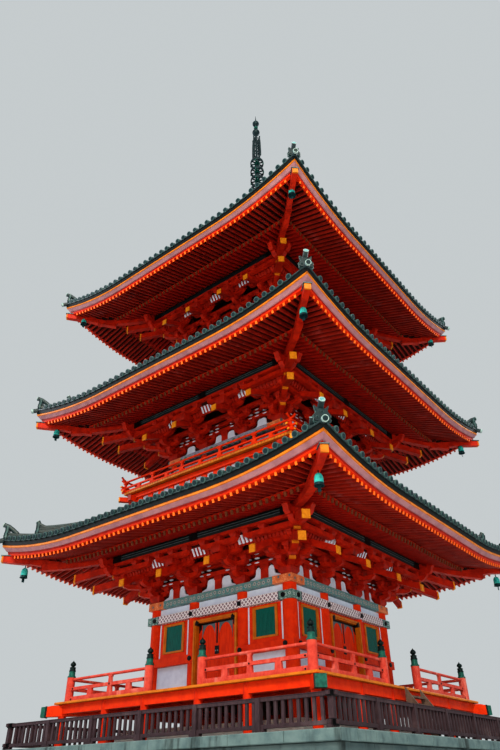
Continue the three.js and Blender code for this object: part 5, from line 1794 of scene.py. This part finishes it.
@dataclass
class EavesTier:
    """Two tiers of rafters, the boards along the edge, the hip rafters and the wind bells."""

    storey: Storey
    pitch: float = 0.195
    base_size: Span = (0.078, 0.12)
    flying_size: Span = (0.054, 0.1)
    hip_share: float = 0.989
    bell_share: float = 0.9027
    lengths: int = 28

    def rafters(self) -> None:
        """Parallel rafters, shortened where they meet the hip."""
        s = self.storey
        for name, start, end, under, (width, depth), wood, cap in (
            ("base", s.eaves_inner, s.base_end, s.base_under, self.base_size, Paint.SOFFIT, Paint.DULL_TIP),
            ("flying", s.base_end - 0.12, s.eave - 0.2, s.flying_under, self.flying_size, Paint.FLYING, Paint.TIP),
        ):
            guide, count = Guide(), int(end / self.pitch) + 1
            for x in ((i + 0.5) * self.pitch for i in range(-count, count)):
                begin = max(start, abs(x) + 0.1)
                if end - begin < 0.12:
                    continue
                if name == "base" and begin < s.purlin - 0.3:
                    knee = s.purlin + 0.1
                    guide.mark((x, begin, under(begin)), (0, knee - begin, under(knee) - under(begin)))
                    begin = knee
                z0, z1 = (under(r) + s.rise(r, abs(x)) for r in (begin, end))
                guide.mark((x, begin, z0), (0, end - begin, z1 - z0))
            Timbers.grow(f"{s.name}_{name}_rafters", guide.around(), "soffit_red", f"{s.name}_eaves",
                         Width=width, Depth=depth, Tip=0.03, Wood=wood, Cap=cap)

    def boards(self) -> None:
        """Soffit boards over the rafters, and the boards of the edge up to the tiles."""
        s, shape, top, e = self.storey, Shape(), self.storey.strip, self.storey.eave
        base, fly, low, inner, knee = s.base_end, s.flying_under, s.base_under, s.eaves_inner, s.purlin + 0.1
        over = base + 0.3
        for paint, section in (
            (Paint.SHADOW, [(inner, low(inner) + 0.12), (knee, low(knee) + 0.12), (base - 0.02, low(base) + 0.12),
                            (base - 0.02, low(base) + 0.15), (inner, low(inner) + 0.15)]),
            (Paint.ARM, rect(base - 0.1, base + 0.005, low(base) + 0.12, low(base) + 0.172)),
            (Paint.SHADOW, [(base - 0.1, fly(base - 0.1) + 0.1), (e - 0.2, fly(e - 0.2) + 0.1),
                            (e - 0.2, fly(e - 0.2) + 0.13), (base - 0.1, fly(base - 0.1) + 0.13)]),
            (Paint.VERMILION, [(e - 0.28, top - 0.175), (e - 0.17, top - 0.175), (e - 0.165, top - 0.122),
                               (e - 0.28, top - 0.122)]),
            (Paint.SOFFIT, [(e - 0.28, top - 0.122), (e - 0.16, top - 0.122), (e - 0.15, top - 0.072),
                            (e - 0.28, top - 0.072)]),
            (Paint.MAUVE, [(e - 0.28, top - 0.072), (e - 0.115, top - 0.072), (e - 0.024, top + 0.024),
                           (e - 0.28, top + 0.024)]),
            (Paint.OCHRE, [(e - 0.2, top + 0.024), (e - 0.02, top + 0.018), (e - 0.006, top + 0.026),
                           (e - 0.006, top + 0.09), (e - 0.2, top + 0.09)]),
            (Paint.TILE_DARK, [(e - 0.2, top + 0.09), (e + 0.006, top + 0.09), (e + 0.02, top + 0.235),
                               (e - 0.2, top + 0.235)]),
            (Paint.TILE, [(e - 0.2, top + 0.235), (e + 0.045, top + 0.228), (e + 0.05, top + 0.252),
                          (e - 0.2, top + 0.256)]),
            (Paint.SHADOW, [(inner, low(inner) + 0.15), (over, fly(over) + 0.13), (e - 0.25, fly(e - 0.25) + 0.13),
                            (e - 0.22, top + 0.09), (over, fly(over) + 0.32), (inner, low(inner) + 0.18)]),
        ):
            shape.run(section, paint, s.rise, self.lengths)
        shape.around().piece(f"{s.name}_eave_boards", "soffit_red", f"{s.name}_eaves")

    def hips(self) -> None:
        """Hip rafters with a metal plate over their ends, and the bell that hangs from each."""
        s, shape, tip, far = self.storey, Shape(), self.storey.eave * self.hip_share, self.storey.base_end + 0.42
        lower = [s.column + (far - s.column) * i / 8 for i in range(9)]
        under = [(r, s.base_under(r) + s.rise(r, r) + 0.03) for r in lower]
        shape.slanted(under + [(r, z - 0.2) for r, z in reversed(under)], 0.2, Paint.ARM)
        z = under[-1][1]
        shape.slanted(rect(far - 0.02, far + 0.01, z - 0.205, z + 0.005), 0.21, Paint.BLOCK)
        upper = [s.base_end - 0.1 + (tip - s.base_end + 0.1) * i / 8 for i in range(9)]
        over = [(r, min(s.flying_under(r) + 0.06, s.strip - 0.06) + s.rise(r, r)) for r in upper]
        shape.slanted(over + [(r, z - 0.22) for r, z in reversed(over)], 0.18, Paint.ARM)
        z = over[-1][1]
        shape.slanted(rect(tip - 0.025, tip + 0.012, z - 0.225, z - 0.03), 0.186, Paint.OCHRE)
        shape.slanted(rect(tip - 0.3, tip + 0.03, z - 0.03, z - 0.005), 0.24, Paint.HOOD)
        self.bell(shape, s.eave * self.bell_share)
        shape.around().piece(f"{s.name}_hip_rafters", "soffit_red", f"{s.name}_eaves")

    def bell(self, shape: Shape, at: float) -> None:
        """A bronze wind bell on its hanger, with a dark skirt and a plate below.

        Args:
            shape: The shape that is drawn on.
            at: Its distance from the axis across and out from the face.
        """
        s = self.storey
        under, low = s.flying_under(at) + s.rise(at, at) - 0.24, s.strip + s.bell
        top = low + 0.45
        shape.rod([(at, at, under + 0.05), (at, at, top - 0.02)], 0.016, Paint.IRON, 6)
        for paint, profile in (
            (Paint.BELL, [(0, 0), (0.04, 0), (0.08, -0.03), (0.105, -0.1), (0.112, -0.24), (0, -0.24)]),
            (Paint.BELL_SKIRT, [(0, -0.225), (0.108, -0.225), (0.114, -0.28), (0.126, -0.31), (0.11, -0.31),
                                (0.1, -0.27), (0, -0.27)]),
        ):
            shape.turned([(radius, top + z) for radius, z in profile], at, at, paint)
        shape.box(about(at, 0.045), about(at, 0.005), (low, top - 0.28), Paint.BELL_SKIRT)

    def build(self) -> None:
        """Builds the rafters, boards, hip rafters and bells."""
        self.rafters()
        self.boards()
        self.hips()


@dataclass
class TileRoof:
    """Pans, round rows with their end discs, and the stacked hip ridges."""

    storey: Storey
    pitch: float = 0.285
    row: float = 0.075
    tile: float = 0.29
    pan: float = 0.25
    thick: float = 0.052
    lengths: int = 24

    def pans(self) -> None:
        """The lapped pan tiles as one shell per face."""
        s, shape, top = self.storey, Shape(), []
        inner, edge, middle = s.roof_inner, s.outer - 0.02, (s.roof_inner + s.eave) / 2
        count = max(6, int((s.outer - inner) / self.pan))
        for i in range(count):
            a, b = (edge + (inner - edge) * k / count for k in (i, i + 1))
            top += [(a, s.tiles(a) - 0.055), (b + 0.001, s.tiles(b) - 0.085)]
        under = [(inner, s.tiles(inner) - 0.2), (middle, s.tiles(middle) - 0.18), (s.eave - 0.17, s.strip + 0.2),
                 (s.outer - 0.03, s.strip + 0.235)]
        shape.run(top + under, Paint.TILE, s.rise, self.lengths)
        shape.around().piece(f"{s.name}_pan_tiles", "roof_tile", f"{s.name}_roof", smooth=20.0)

    def rows(self) -> None:
        """Round rows from the edge to the ridge or the wall, and their end discs."""
        s, lines, ends = self.storey, Guide(), Guide()
        start = s.outer - 0.015
        count = int(start / self.pitch)
        for i in range(-count - 1, count + 1):
            x = (i + 0.5) * self.pitch
            stop = max(s.roof_inner + 0.02, abs(x) + 0.06)
            if start - stop < 0.3:
                continue
            tiles = max(1, round((start - stop) / self.tile))
            places = [start + (stop - start) * (k + share) / tiles for k in range(tiles) for share in (0.0, 0.97)]
            lines.line([(x, r, s.tiles(r) - 0.01 + s.rise(r, abs(x))) for r in places], (1.06, 0.94) * tiles)
            ends.mark((x, start - 0.01, s.tiles(start) - 0.012 + s.rise(start, abs(x))), (0, 1, -0.25))
        Rows.grow(f"{s.name}_round_rows", lines.around(), "roof_tile", f"{s.name}_roof", smooth=60.0,
                  Radius=self.row, Sides=8, Skin=Paint.TILE)
        Studs.grow(f"{s.name}_end_discs", ends.around(), "roof_tile", f"{s.name}_roof",
                   Radius=0.088, Depth=0.035, Sides=12, Inset=0.7, Rim=Paint.TILE_RIM, Heart=Paint.TILE_HEART)

    def stack(self, shape: Shape, places: Sequence[float], layers: int, width: float) -> None:
        """Flat tiles stacked along the hip, with a round row on top.

        Args:
            shape: The shape that is drawn on.
            places: Radii along the hip.
            layers: Number of flat layers.
            width: Width of the lowest layer.
        """
        foot, core = [(r, self.storey.crest(r) - 0.08) for r in places], 0.06 + layers * self.thick
        courses = [(0.06 + k * self.thick, 0.06 + (k + 1) * self.thick - 0.008, width - 0.03 * (k % 2) - 0.012 * k,
                    Paint.TILE) for k in range(layers)]
        courses += [(-0.02, 0.07, width - 0.04, Paint.TILE_DARK), (0.03, core, width - 0.1, Paint.TILE_DARK)]
        for low, high, wide, paint in courses:
            shape.slanted([(r, z + low) for r, z in foot] + [(r, z + high) for r, z in reversed(foot)], wide, paint)
        shape.rod([(r, r, z + core + 0.03) for r, z in foot], 0.075, Paint.TILE, 10)

    def disc(
        self, shape: Shape, at: float, z: float, radius: float, rim: Paint = Paint.TILE_RIM, side: float = 0.0,
    ) -> None:
        """A short round tile facing out along the hip, with a rim.

        Args:
            shape: The shape that is drawn on.
            at: Radius of its face.
            z: Height of its middle.
            radius: Its radius.
            rim: Finish of the rim.
            side: Distance to the side of the hip.
        """
        x, r = at + side * ROOT, at - side * ROOT
        shape.rod([(x - 0.05, r - 0.05, z + 0.02), (x, r, z)], radius, rim, 14)
        shape.rod([(x - 0.01, r - 0.01, z + 0.004), (x + 0.005, r + 0.005, z - 0.002)], radius * 0.76,
                  Paint.TILE_HEART, 14)

    def end_tile(self, shape: Shape, at: float, foot: float, height: float, wide: float) -> None:
        """A shouldered and horned end tile with three bosses, which stands across the hip.

        Args:
            shape: The shape that is drawn on.
            at: Radius of its back.
            foot: Height of its foot.
            height: Its height.
            wide: Half of its width.
        """
        half = [(0.0, 0.0), (0.85, 0.0), (1.08, 0.1), (1.0, 0.26), (1.1, 0.4), (0.86, 0.54), (0.7, 0.68), (0.84, 0.86),
                (0.9, 1.06), (0.66, 0.94), (0.42, 0.84), (0.0, 0.88)]
        outline = [(a * wide, b * height) for a, b in half] + [(-a * wide, b * height) for a, b in reversed(half[1:-1])]
        for depths, share, paint in (((0.0, 0.045), 1.0, Paint.TILE_RIM), ((0.04, 0.075), 0.92, Paint.TILE_HEART)):
            lift = foot + height * (1 - share) / 2
            shape.loft([[(at + out + a * share * ROOT, -(at + out) + a * share * ROOT, lift + b * share)
                         for a, b in outline] for out in depths], paint)
        for side, up in ((-0.62, 0.26), (0.62, 0.26), (0.0, 0.6)):
            self.disc(shape, at + 0.085, foot + height * up, 0.17 * wide, side=side * wide)

    def horn(self, shape: Shape, path: Outline, radius: float) -> None:
        """A round tile that curves up over an end tile, with a light round face.

        Args:
            shape: The shape that is drawn on.
            path: Radius along the hip and height of its middle.
            radius: Its radius.
        """
        shape.rod([(r, r, z) for r, z in path], radius, Paint.TILE, 12)
        (r0, z0), (r1, z1) = path[-2:]
        step = 0.012 / math.hypot(r1 - r0, z1 - z0)
        for reach, share, paint in ((1.0, 1.08, Paint.RING), (1.4, 0.7, Paint.SHELL)):
            r, z = r1 + (r1 - r0) * step * reach, z1 + (z1 - z0) * step * reach
            shape.rod([(r1, r1, z1), (r, r, z)], radius * share, paint, 14)

    def ridges(self) -> None:
        """Hip ridges: a tall length, its end tile, a low length to the corner and the horned end over it."""
        s, shape = self.storey, Shape()
        reach, near, tip, top = s.outer - s.roof_inner, s.outer - 0.16, s.outer + 0.085, s.crest(s.outer)
        end = s.roof_inner + reach * 0.776
        self.stack(shape, [s.roof_inner + reach * (0.1 + 0.676 * i / 8) for i in range(9)], 7, 0.3)
        self.stack(shape, [end + (near - end) * i / 4 for i in range(5)], 2, 0.26)
        for at, z, drop, height, wide, radius, bend in (
            (end, s.crest(end), 0.04, 0.5, 0.22, 0.075, ((-0.3, 0.36), (-0.1, 0.4), (0.02, 0.48), (0.07, 0.58))),
            (near, top, 0.1, 0.42, 0.2, 0.076, ((-0.2, 0.12), (-0.07, 0.27), (0.03, 0.37), (0.14, 0.425))),
        ):
            self.end_tile(shape, at, z - drop, height, wide)
            self.horn(shape, [(at + out, z + up) for out, up in bend], radius)
        shape.rod([(tip - 0.24, tip - 0.24, top - 0.06), (tip - 0.01, tip - 0.01, top - 0.147)], 0.08, Paint.TILE, 12)
        self.disc(shape, tip, top - 0.15, 0.085, Paint.RING)
        shape.around().piece(f"{s.name}_ridges", "roof_tile", f"{s.name}_roof")

    def build(self) -> None:
        """Builds the whole roof."""
        self.pans()
        self.rows()
        self.ridges()


@dataclass
class UpperBody:
    """Hollow walls of an upper storey with columns, sill and painted beams."""

    storey: Storey
    radius: float = 0.17
    plate: float = 0.22
    frieze: float = 0.36
    tie: float = 0.57
    proud: float = 0.215

    def build(self) -> None:
        """Builds the walls from the roof below up to the plate."""
        s, shape, side = self.storey, Shape(), Shape()
        c, top, sill, floor = s.column, s.plate_top, s.sill_bottom, s.floor_top
        plate, frieze, tie, out = top - self.plate, top - self.frieze, top - self.tie, c + self.proud
        shape.run(rect(c - 0.1, c + 0.1, s.wall_base, top - 0.01), Paint.VERMILION)
        shape.run(rect(c, c + 0.195, sill, sill + 0.24), Paint.BRIGHT)
        for x in (-s.inner, s.inner, c):
            shape.turned([(0, sill + 0.02), (self.radius, sill + 0.02), (self.radius, top - 0.215), (0, top - 0.215)],
                         x, c, Paint.BRIGHT, 24)
        shape.run(rect(c, c + 0.112, frieze, plate), Paint.SLATE)
        shape.box(about(0, out - 0.6), (c, out), (plate, top), Paint.UPPER_PLATE)
        shape.box(about(0, out - 0.42), (c, out), (tie, frieze), Paint.UPPER_TIE)
        side.mitred(out - 0.6, (c, out), (plate, top), Paint.PLATE_END)
        side.mitred(out - 0.42, (c, out), (tie, frieze), Paint.GREEN_END)
        for z in ((plate - 0.003, top - 0.001), (tie - 0.003, frieze + 0.003)):
            side.mitred(out - 0.05, (out - 0.1, out + 0.004), z, Paint.GREY_METAL)
        for x in (s.inner, c - 0.02):
            side.outward([(x + 0.07 * cos, (tie + frieze) / 2 + 0.07 * sin) for cos, sin in circle(12)],
                         (out - 0.01, out + 0.022), Paint.IRON)
        shape.take(side.mirrored())
        start, end = s.inner + self.radius + 0.02, c - self.radius - 0.02
        for bay in ((-end, -start), (start, end)):
            shape.box(bay, (c + 0.1, c + 0.108), (floor + 0.03, tie - 0.02), Paint.WHITE)
        for half, near, far, paint in (
            (s.inner - self.radius - 0.02, 0.1, 0.12, Paint.DOOR), (0.008, 0.11, 0.125, Paint.IRON),
        ):
            shape.box(about(0, half), (c + near, c + far), (floor + 0.05, tie - 0.03), paint)
        shape.around().piece(f"{s.name}_body", "vermilion", f"{s.name}_walls")


@dataclass
class Balcony:
    """The balcony of an upper storey and the open railing round it."""

    storey: Storey
    half: float = 0.035
    cross: float = 0.2
    thick: float = 0.09
    board: float = 0.121
    block: float = 0.5
    posts: tuple[float, ...] = (-0.62, -0.231, 0.231, 0.62, 1.0)
    feet: tuple[float, ...] = (-0.8, -0.425, 0.0, 0.425, 0.8)

    def floor(self) -> None:
        """Boards with ochre ends on a beam, over red blocks with white plaster between them."""
        s, shape, side = self.storey, Shape(), Shape()
        inner, outer, top, seat = s.column + 0.171, s.floor_half, s.floor_top, s.sill_bottom + 0.2403
        under, beam = top - self.thick, outer - 0.155
        low = under - 0.31
        for paint, section in (
            (Paint.OCHRE, [(outer - 0.12, under), (outer - 0.01, under), (outer, under + 0.01), (outer, top - 0.008),
                           (outer - 0.01, top), (outer - 0.12, top)]),
            (Paint.DECK, rect(inner, outer - 0.12, under + 0.02, top - 0.002)),
            (Paint.BRIGHT, rect(beam - 0.13, beam, under - 0.17, under)),
            (Paint.WHITE, [(beam - 0.4, seat), (beam - 0.33, seat), (beam - 0.11, low - 0.04),
                           (beam - 0.11, under - 0.171), (beam - 0.2, under - 0.171)]),
            (Paint.VERMILION, rect(beam - 0.34, beam - 0.1, low - 0.14, low - 0.04)),
        ):
            shape.run(section, paint)
        for i in range(1, int(2 * outer / self.board)):
            shape.box(about(i * self.board - outer, 0.006), (outer - 0.05, outer + 0.0015),
                      (under + 0.012, top + 0.001), Paint.INNER)
        count = int((beam - 0.4) / self.block)
        for i in range(-count, count + 1):
            shape.box(about(i * self.block, 0.11), (beam - 0.2, beam - 0.06), (low - 0.04, under - 0.1705),
                      Paint.BRIGHT)
        side.box((beam - 0.34, outer + 0.07), (beam - 0.32, beam - 0.18), (low, low + 0.19), Paint.VERMILION)
        side.box((outer + 0.07, outer + 0.082), (beam - 0.325, beam - 0.175), (low - 0.005, low + 0.195), Paint.BLOCK)
        shape.take(side.mirrored())
        shape.slanted([(beam - 0.3, low + 0.02), (outer + 0.1, low + 0.06), (outer + 0.1, under - 0.1),
                       (beam - 0.3, under - 0.1)], 0.15, Paint.VERMILION)
        shape.slanted(rect(outer + 0.08, outer + 0.11, low + 0.055, under - 0.095), 0.158, Paint.CAP)
        shape.around(LAP).piece(f"{s.name}_balcony_floor", "deck_wood", f"{s.name}_balcony")

    def railing(self) -> None:
        """Rails that cross at the corners on short posts, with the ends of the top rail curved up."""
        s, shape, upper = self.storey, Shape(), Shape()
        base, line = s.floor_top + HAIR, s.floor_half - 0.025
        for low, high, past in ((0.0, 0.05, 0.1), (0.14, 0.195, 0.17)):
            end = line + self.half + past
            shape.box((-end, end), about(line, self.half), (base + low, base + high), Paint.BRIGHT)
            for cap in ((-end - 0.008, -end), (end, end + 0.008)):
                shape.box(cap, about(line, self.half + 0.002), (base + low - 0.002, base + high + 0.002), Paint.CAP)
        z, far = base + 0.392, line + self.cross
        bend = [(off - far, line, z + up) for off, up in ((0.0, 0.115), (0.08, 0.055), (0.19, 0.012), (0.33, 0.0))]
        upper.rod(bend + [(-x, r, h) for x, r, h in reversed(bend)], self.half, Paint.BRIGHT)
        for sign in (-1, 1):
            upper.rod([(sign * (far - 0.001), line, z + 0.1145), (sign * (far + 0.006), line, z + 0.12)], 0.038,
                      Paint.IRON)
        for share in self.posts:
            for wide, deep, (low, high) in ((0.085, 0.045, (0.048, 0.142)), (0.04, 0.03, (0.19, 0.33)),
                                            (0.075, 0.045, (0.31, 0.362))):
                shape.box(about(line * share, wide), about(line, deep), (base + low, base + high), Paint.BRIGHT)
        for share in self.feet:
            shape.box(about(line * share, 0.065), about(line, 0.04), (base + 0.048, base + 0.142), Paint.BRIGHT)
        shape.around(LAP).take(upper.around(0.02)).piece(f"{s.name}_balcony_rails", "vermilion", f"{s.name}_railing")

    def build(self) -> None:
        """Builds the floor and its railing."""
        self.floor()
        self.railing()


# ---------------------------------------------------------------- spire


@dataclass
class Spire:
    """Bronze spire: square base with a bowl, nine spoked rings, open flame and two jewels."""

    base: float = 20.794
    pole: float = 0.095
    first_ring: float = 22.2
    pitch: float = 0.713
    rings: int = 9
    radius: float = 0.4
    flame: Span = (28.26, 30.14)

    def foot(self) -> None:
        """The square base with its panels, the bowl and the petals over it."""
        z, shape, panels = self.base, Shape(), Shape()
        for half, low, high in ((0.45, 0.0, 0.41), (0.47, 0.0, 0.06), (0.52, 0.41, 0.48), (0.485, 0.36, 0.41)):
            shape.upright(rect(-half, half, -half, half), (z + low, z + high), Paint.BRONZE)
        for x in (-0.29, 0.0, 0.29):
            panels.box(about(x, 0.115), (0.44, 0.458), (z + 0.1, z + 0.32), Paint.VERDIGRIS)
        shape.take(panels.around())
        bowl = ((0, 0.48), (0.44, 0.48), (0.44, 0.54), (0.42, 0.66), (0.34, 0.76), (0.22, 0.83), (0.2, 0.86), (0, 0.86))
        shape.turned([(r, z + up) for r, up in bowl], 0, 0, Paint.BRONZE, 24)
        for cos, sin in circle(12):
            shape.rod([(r * cos, r * sin, z + up) for r, up in ((0.18, 0.84), (0.29, 0.9), (0.37, 1.04))],
                      0.06, Paint.VERDIGRIS, 6, 0.4)
        cup = ((0, 0.84), (0.2, 0.84), (0.3, 0.98), (0.34, 1.05), (0, 1.05))
        shape.turned([(r, z + up) for r, up in cup], 0, 0, Paint.BRONZE, 20)
        shape.piece("spire_foot", "dark_bronze", "spire_base")

    def ring_stack(self) -> None:
        """The pole and its rings, each a hoop on eight spokes with bells under it."""
        z, end, shape, spokes, bells = self.base + 1.0503, self.flame[0] - HAIR, Shape(), Guide(), Guide()
        shape.turned([(0, z), (0.15, z), (0.15, z + 0.05), (self.pole, z + 0.15), (self.pole * 0.8, end), (0, end)],
                     0, 0, Paint.BRONZE, 14)
        for k in range(self.rings):
            z, size = self.first_ring + k * self.pitch, self.radius * (1 - 0.012 * k)
            self.hoop(shape, z, size)
            shape.turned([(0, z - 0.09), (0.13, z - 0.09), (0.15, z), (0.13, z + 0.09), (0, z + 0.09)],
                         0, 0, Paint.VERDIGRIS, 12)
            for i, (cos, sin) in enumerate(circle(8, 0.5)):
                spokes.mark((0.1 * cos, 0.1 * sin, z - 0.03), ((size - 0.12) * cos, (size - 0.12) * sin, 0.0))
                if i % 2:
                    bells.mark(((size - 0.02) * cos, (size - 0.02) * sin, z - 0.07), (0, 0, -1), (1, 0, 0))
        shape.piece("spire_hoops", "dark_bronze", "spire_rings")
        Laths.grow("spire_spokes", spokes, "dark_bronze", "spire_rings", Width=0.05, Depth=0.06, Wood=Paint.BRONZE)
        Studs.grow("spire_bells", bells, "dark_bronze", "spire_rings", Radius=0.03, Depth=0.09, Sides=8, Inset=0.6,
                   Rim=Paint.VERDIGRIS, Heart=Paint.BRONZE)

    def hoop(self, shape: Shape, z: float, size: float, sides: int = 28) -> None:
        """A flat hoop with a rounded outer face.

        Args:
            shape: The shape that is drawn on.
            z: Height of its middle.
            size: Its outer radius.
            sides: Number of faces round it.
        """
        section = [(size - 0.06, z - 0.08), (size - 0.012, z - 0.085), (size, z), (size - 0.012, z + 0.085),
                   (size - 0.06, z + 0.08)]
        points = [(r * cos, r * sin, h) for cos, sin in circle(sides) for r, h in section]
        faces = [[corner % len(points) for corner in face] for face in skin(sides + 1, len(section))]
        shape.add(points, faces, Paint.BRONZE)

    def jewel(self, z: float, radius: float) -> list[Span]:
        """Outline of a round jewel, from below upwards."""
        return [(radius * math.cos(a), z + radius * math.sin(a)) for a in np.linspace(-1.2, 1.2, 9)]

    def flames(self) -> None:
        """Four open flame fins of upright bars, the upper pole and the two jewels."""
        (low, high), lines, shape = self.flame, Guide(), Shape()
        bars = (
            (1.25, ((0.05, 0.04), (0.18, 0.05), (0.262, 0.09), (0.262, 0.28), (0.255, 0.5), (0.245, 0.72), (0.22, 0.88),
                    (0.235, 0.97))),
            (1.0, ((0.18, 0.05), (0.18, 0.3), (0.17, 0.55), (0.15, 0.8), (0.12, 0.96))),
            (1.0, ((0.262, 0.28), (0.22, 0.35), (0.18, 0.3), (0.12, 0.34), (0.05, 0.3))),
            (1.0, ((0.255, 0.5), (0.22, 0.58), (0.17, 0.55), (0.12, 0.59), (0.05, 0.55))),
            (1.0, ((0.245, 0.72), (0.2, 0.82), (0.15, 0.8), (0.1, 0.84), (0.05, 0.8))),
        )
        for cos, sin in circle(4):
            for girth, outline in bars:
                lines.line([(a * cos, a * sin, low + b * (high - low)) for a, b in outline], [girth] * len(outline))
        Rows.grow("spire_flame_bars", lines, "dark_bronze", "spire_flame", smooth=70.0,
                  Radius=0.03, Sides=6, Skin=Paint.BRONZE)
        shape.turned([(0, low), (0.057, low), (0.057, 30.4), *self.jewel(30.61, 0.205), (0.05, 30.83), (0.05, 31.2),
                      *self.jewel(31.42, 0.185), (0.045, 31.63), (0.03, 31.75), (0.008, 32.14), (0, 32.151)],
                     0, 0, Paint.BRONZE, 20)
        shape.turned([(0, 31.0), (0.09, 31.0), (0.12, 31.04), (0.09, 31.08), (0, 31.08)], 0, 0, Paint.VERDIGRIS, 14)
        shape.piece("spire_jewels", "dark_bronze", "spire_flame")

    def build(self) -> None:
        """Builds the spire from its foot to the tip."""
        self.foot()
        self.ring_stack()
        self.flames()


# ---------------------------------------------------------------- studio


@dataclass
class Studio:
    """Floor, soft lights and the camera at the photograph's angle."""

    place: Point = (12.466, -16.847, 0.338)
    yaw: float = 38.0268
    pitch: float = 33.6741
    roll: float = -0.9401
    lens: float = 29.29
    sensor: float = 36.0
    farthest: float = 400.0
    ground: float = 260.0
    sky: Tone = (224, 230, 232)
    sky_strength: float = 0.66

    def camera(self) -> None:
        """Sets the camera."""
        y, p, r = (math.radians(v) for v in (self.yaw, self.pitch, self.roll))
        ahead = Vector((-math.sin(y) * math.cos(p), math.cos(y) * math.cos(p), math.sin(p)))
        level_right = Vector((math.cos(y), math.sin(y), 0.0))
        up = level_right.cross(ahead)
        right = level_right * math.cos(r) + up * math.sin(r)
        above = up * math.cos(r) - level_right * math.sin(r)
        data = bpy.data.cameras.new("view")
        data.lens, data.sensor_width, data.clip_end = self.lens, self.sensor, self.farthest
        made = bpy.data.objects.new("view", data)
        turn = Matrix((right, above, -ahead)).transposed()
        made.matrix_world = Matrix.Translation(self.place) @ turn.to_4x4()
        bpy.context.scene.collection.objects.link(made)
        bpy.context.scene.camera = made

    def light(self, name: str, at: Point, aim: float, size: float, power: float, tint: Tone) -> None:
        """One soft area light that faces a point on the axis.

        Args:
            name: Name of the light.
            at: Its place.
            aim: Height of the point that it faces.
            size: Its side.
            power: Its power in watts.
            tint: Its colour.
        """
        data = bpy.data.lights.new(name, "AREA")
        data.shape, data.size, data.energy, data.color = "SQUARE", size, power, linear(tint)[:3]
        made = bpy.data.objects.new(name, data)
        made.location = at
        made.rotation_euler = (Vector((0, 0, aim)) - Vector(at)).to_track_quat("-Z", "Y").to_euler()
        bpy.context.scene.collection.objects.link(made)

    def build(self) -> None:
        """Lays the floor and sets the world and the lights."""
        bpy.ops.mesh.primitive_plane_add(size=self.ground, location=(0.0, 0.0, 0.0))
        floor, scene = bpy.context.active_object, bpy.context.scene
        floor.name = "floor"
        floor.data.materials.append(Paint.FLOOR.material())
        scene.world = bpy.data.worlds.new("studio")
        scene.world.use_nodes = True
        back = scene.world.node_tree.nodes["Background"]
        back.inputs["Color"].default_value = linear(self.sky)
        back.inputs["Strength"].default_value = self.sky_strength
        self.light("key", (26, -34, 40), 11, 14.0, 27000.0, (255, 240, 216))
        self.light("side", (-34, -22, 26), 10, 18.0, 7000.0, (244, 244, 250))
        self.light("low", (14, -22, 1.2), 9, 12.0, 2200.0, (255, 220, 190))
        self.light("back", (10, 40, 34), 12, 18.0, 9000.0, (244, 246, 250))
        scene.view_settings.view_transform = "Standard"
        scene.view_settings.look = "Medium High Contrast"


def main() -> None:
    """Builds the pagoda's pieces in order."""
    logging.basicConfig(level=logging.INFO, format="%(message)s")
    studio = Studio()
    studio.camera()
    for part in (Podium(), Fence(), Veranda(), VerandaRailing(), FirstBody(), Doors()):
        part.build()
    for index, storey in enumerate(STOREYS):
        if index:
            UpperBody(storey).build()
            Balcony(storey).build()
        BracketTier(storey).build()
        EavesTier(storey).build()
        TileRoof(storey).build()
    Spire().build()
    studio.build()
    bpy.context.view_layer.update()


if __name__ == "__main__":
    main()
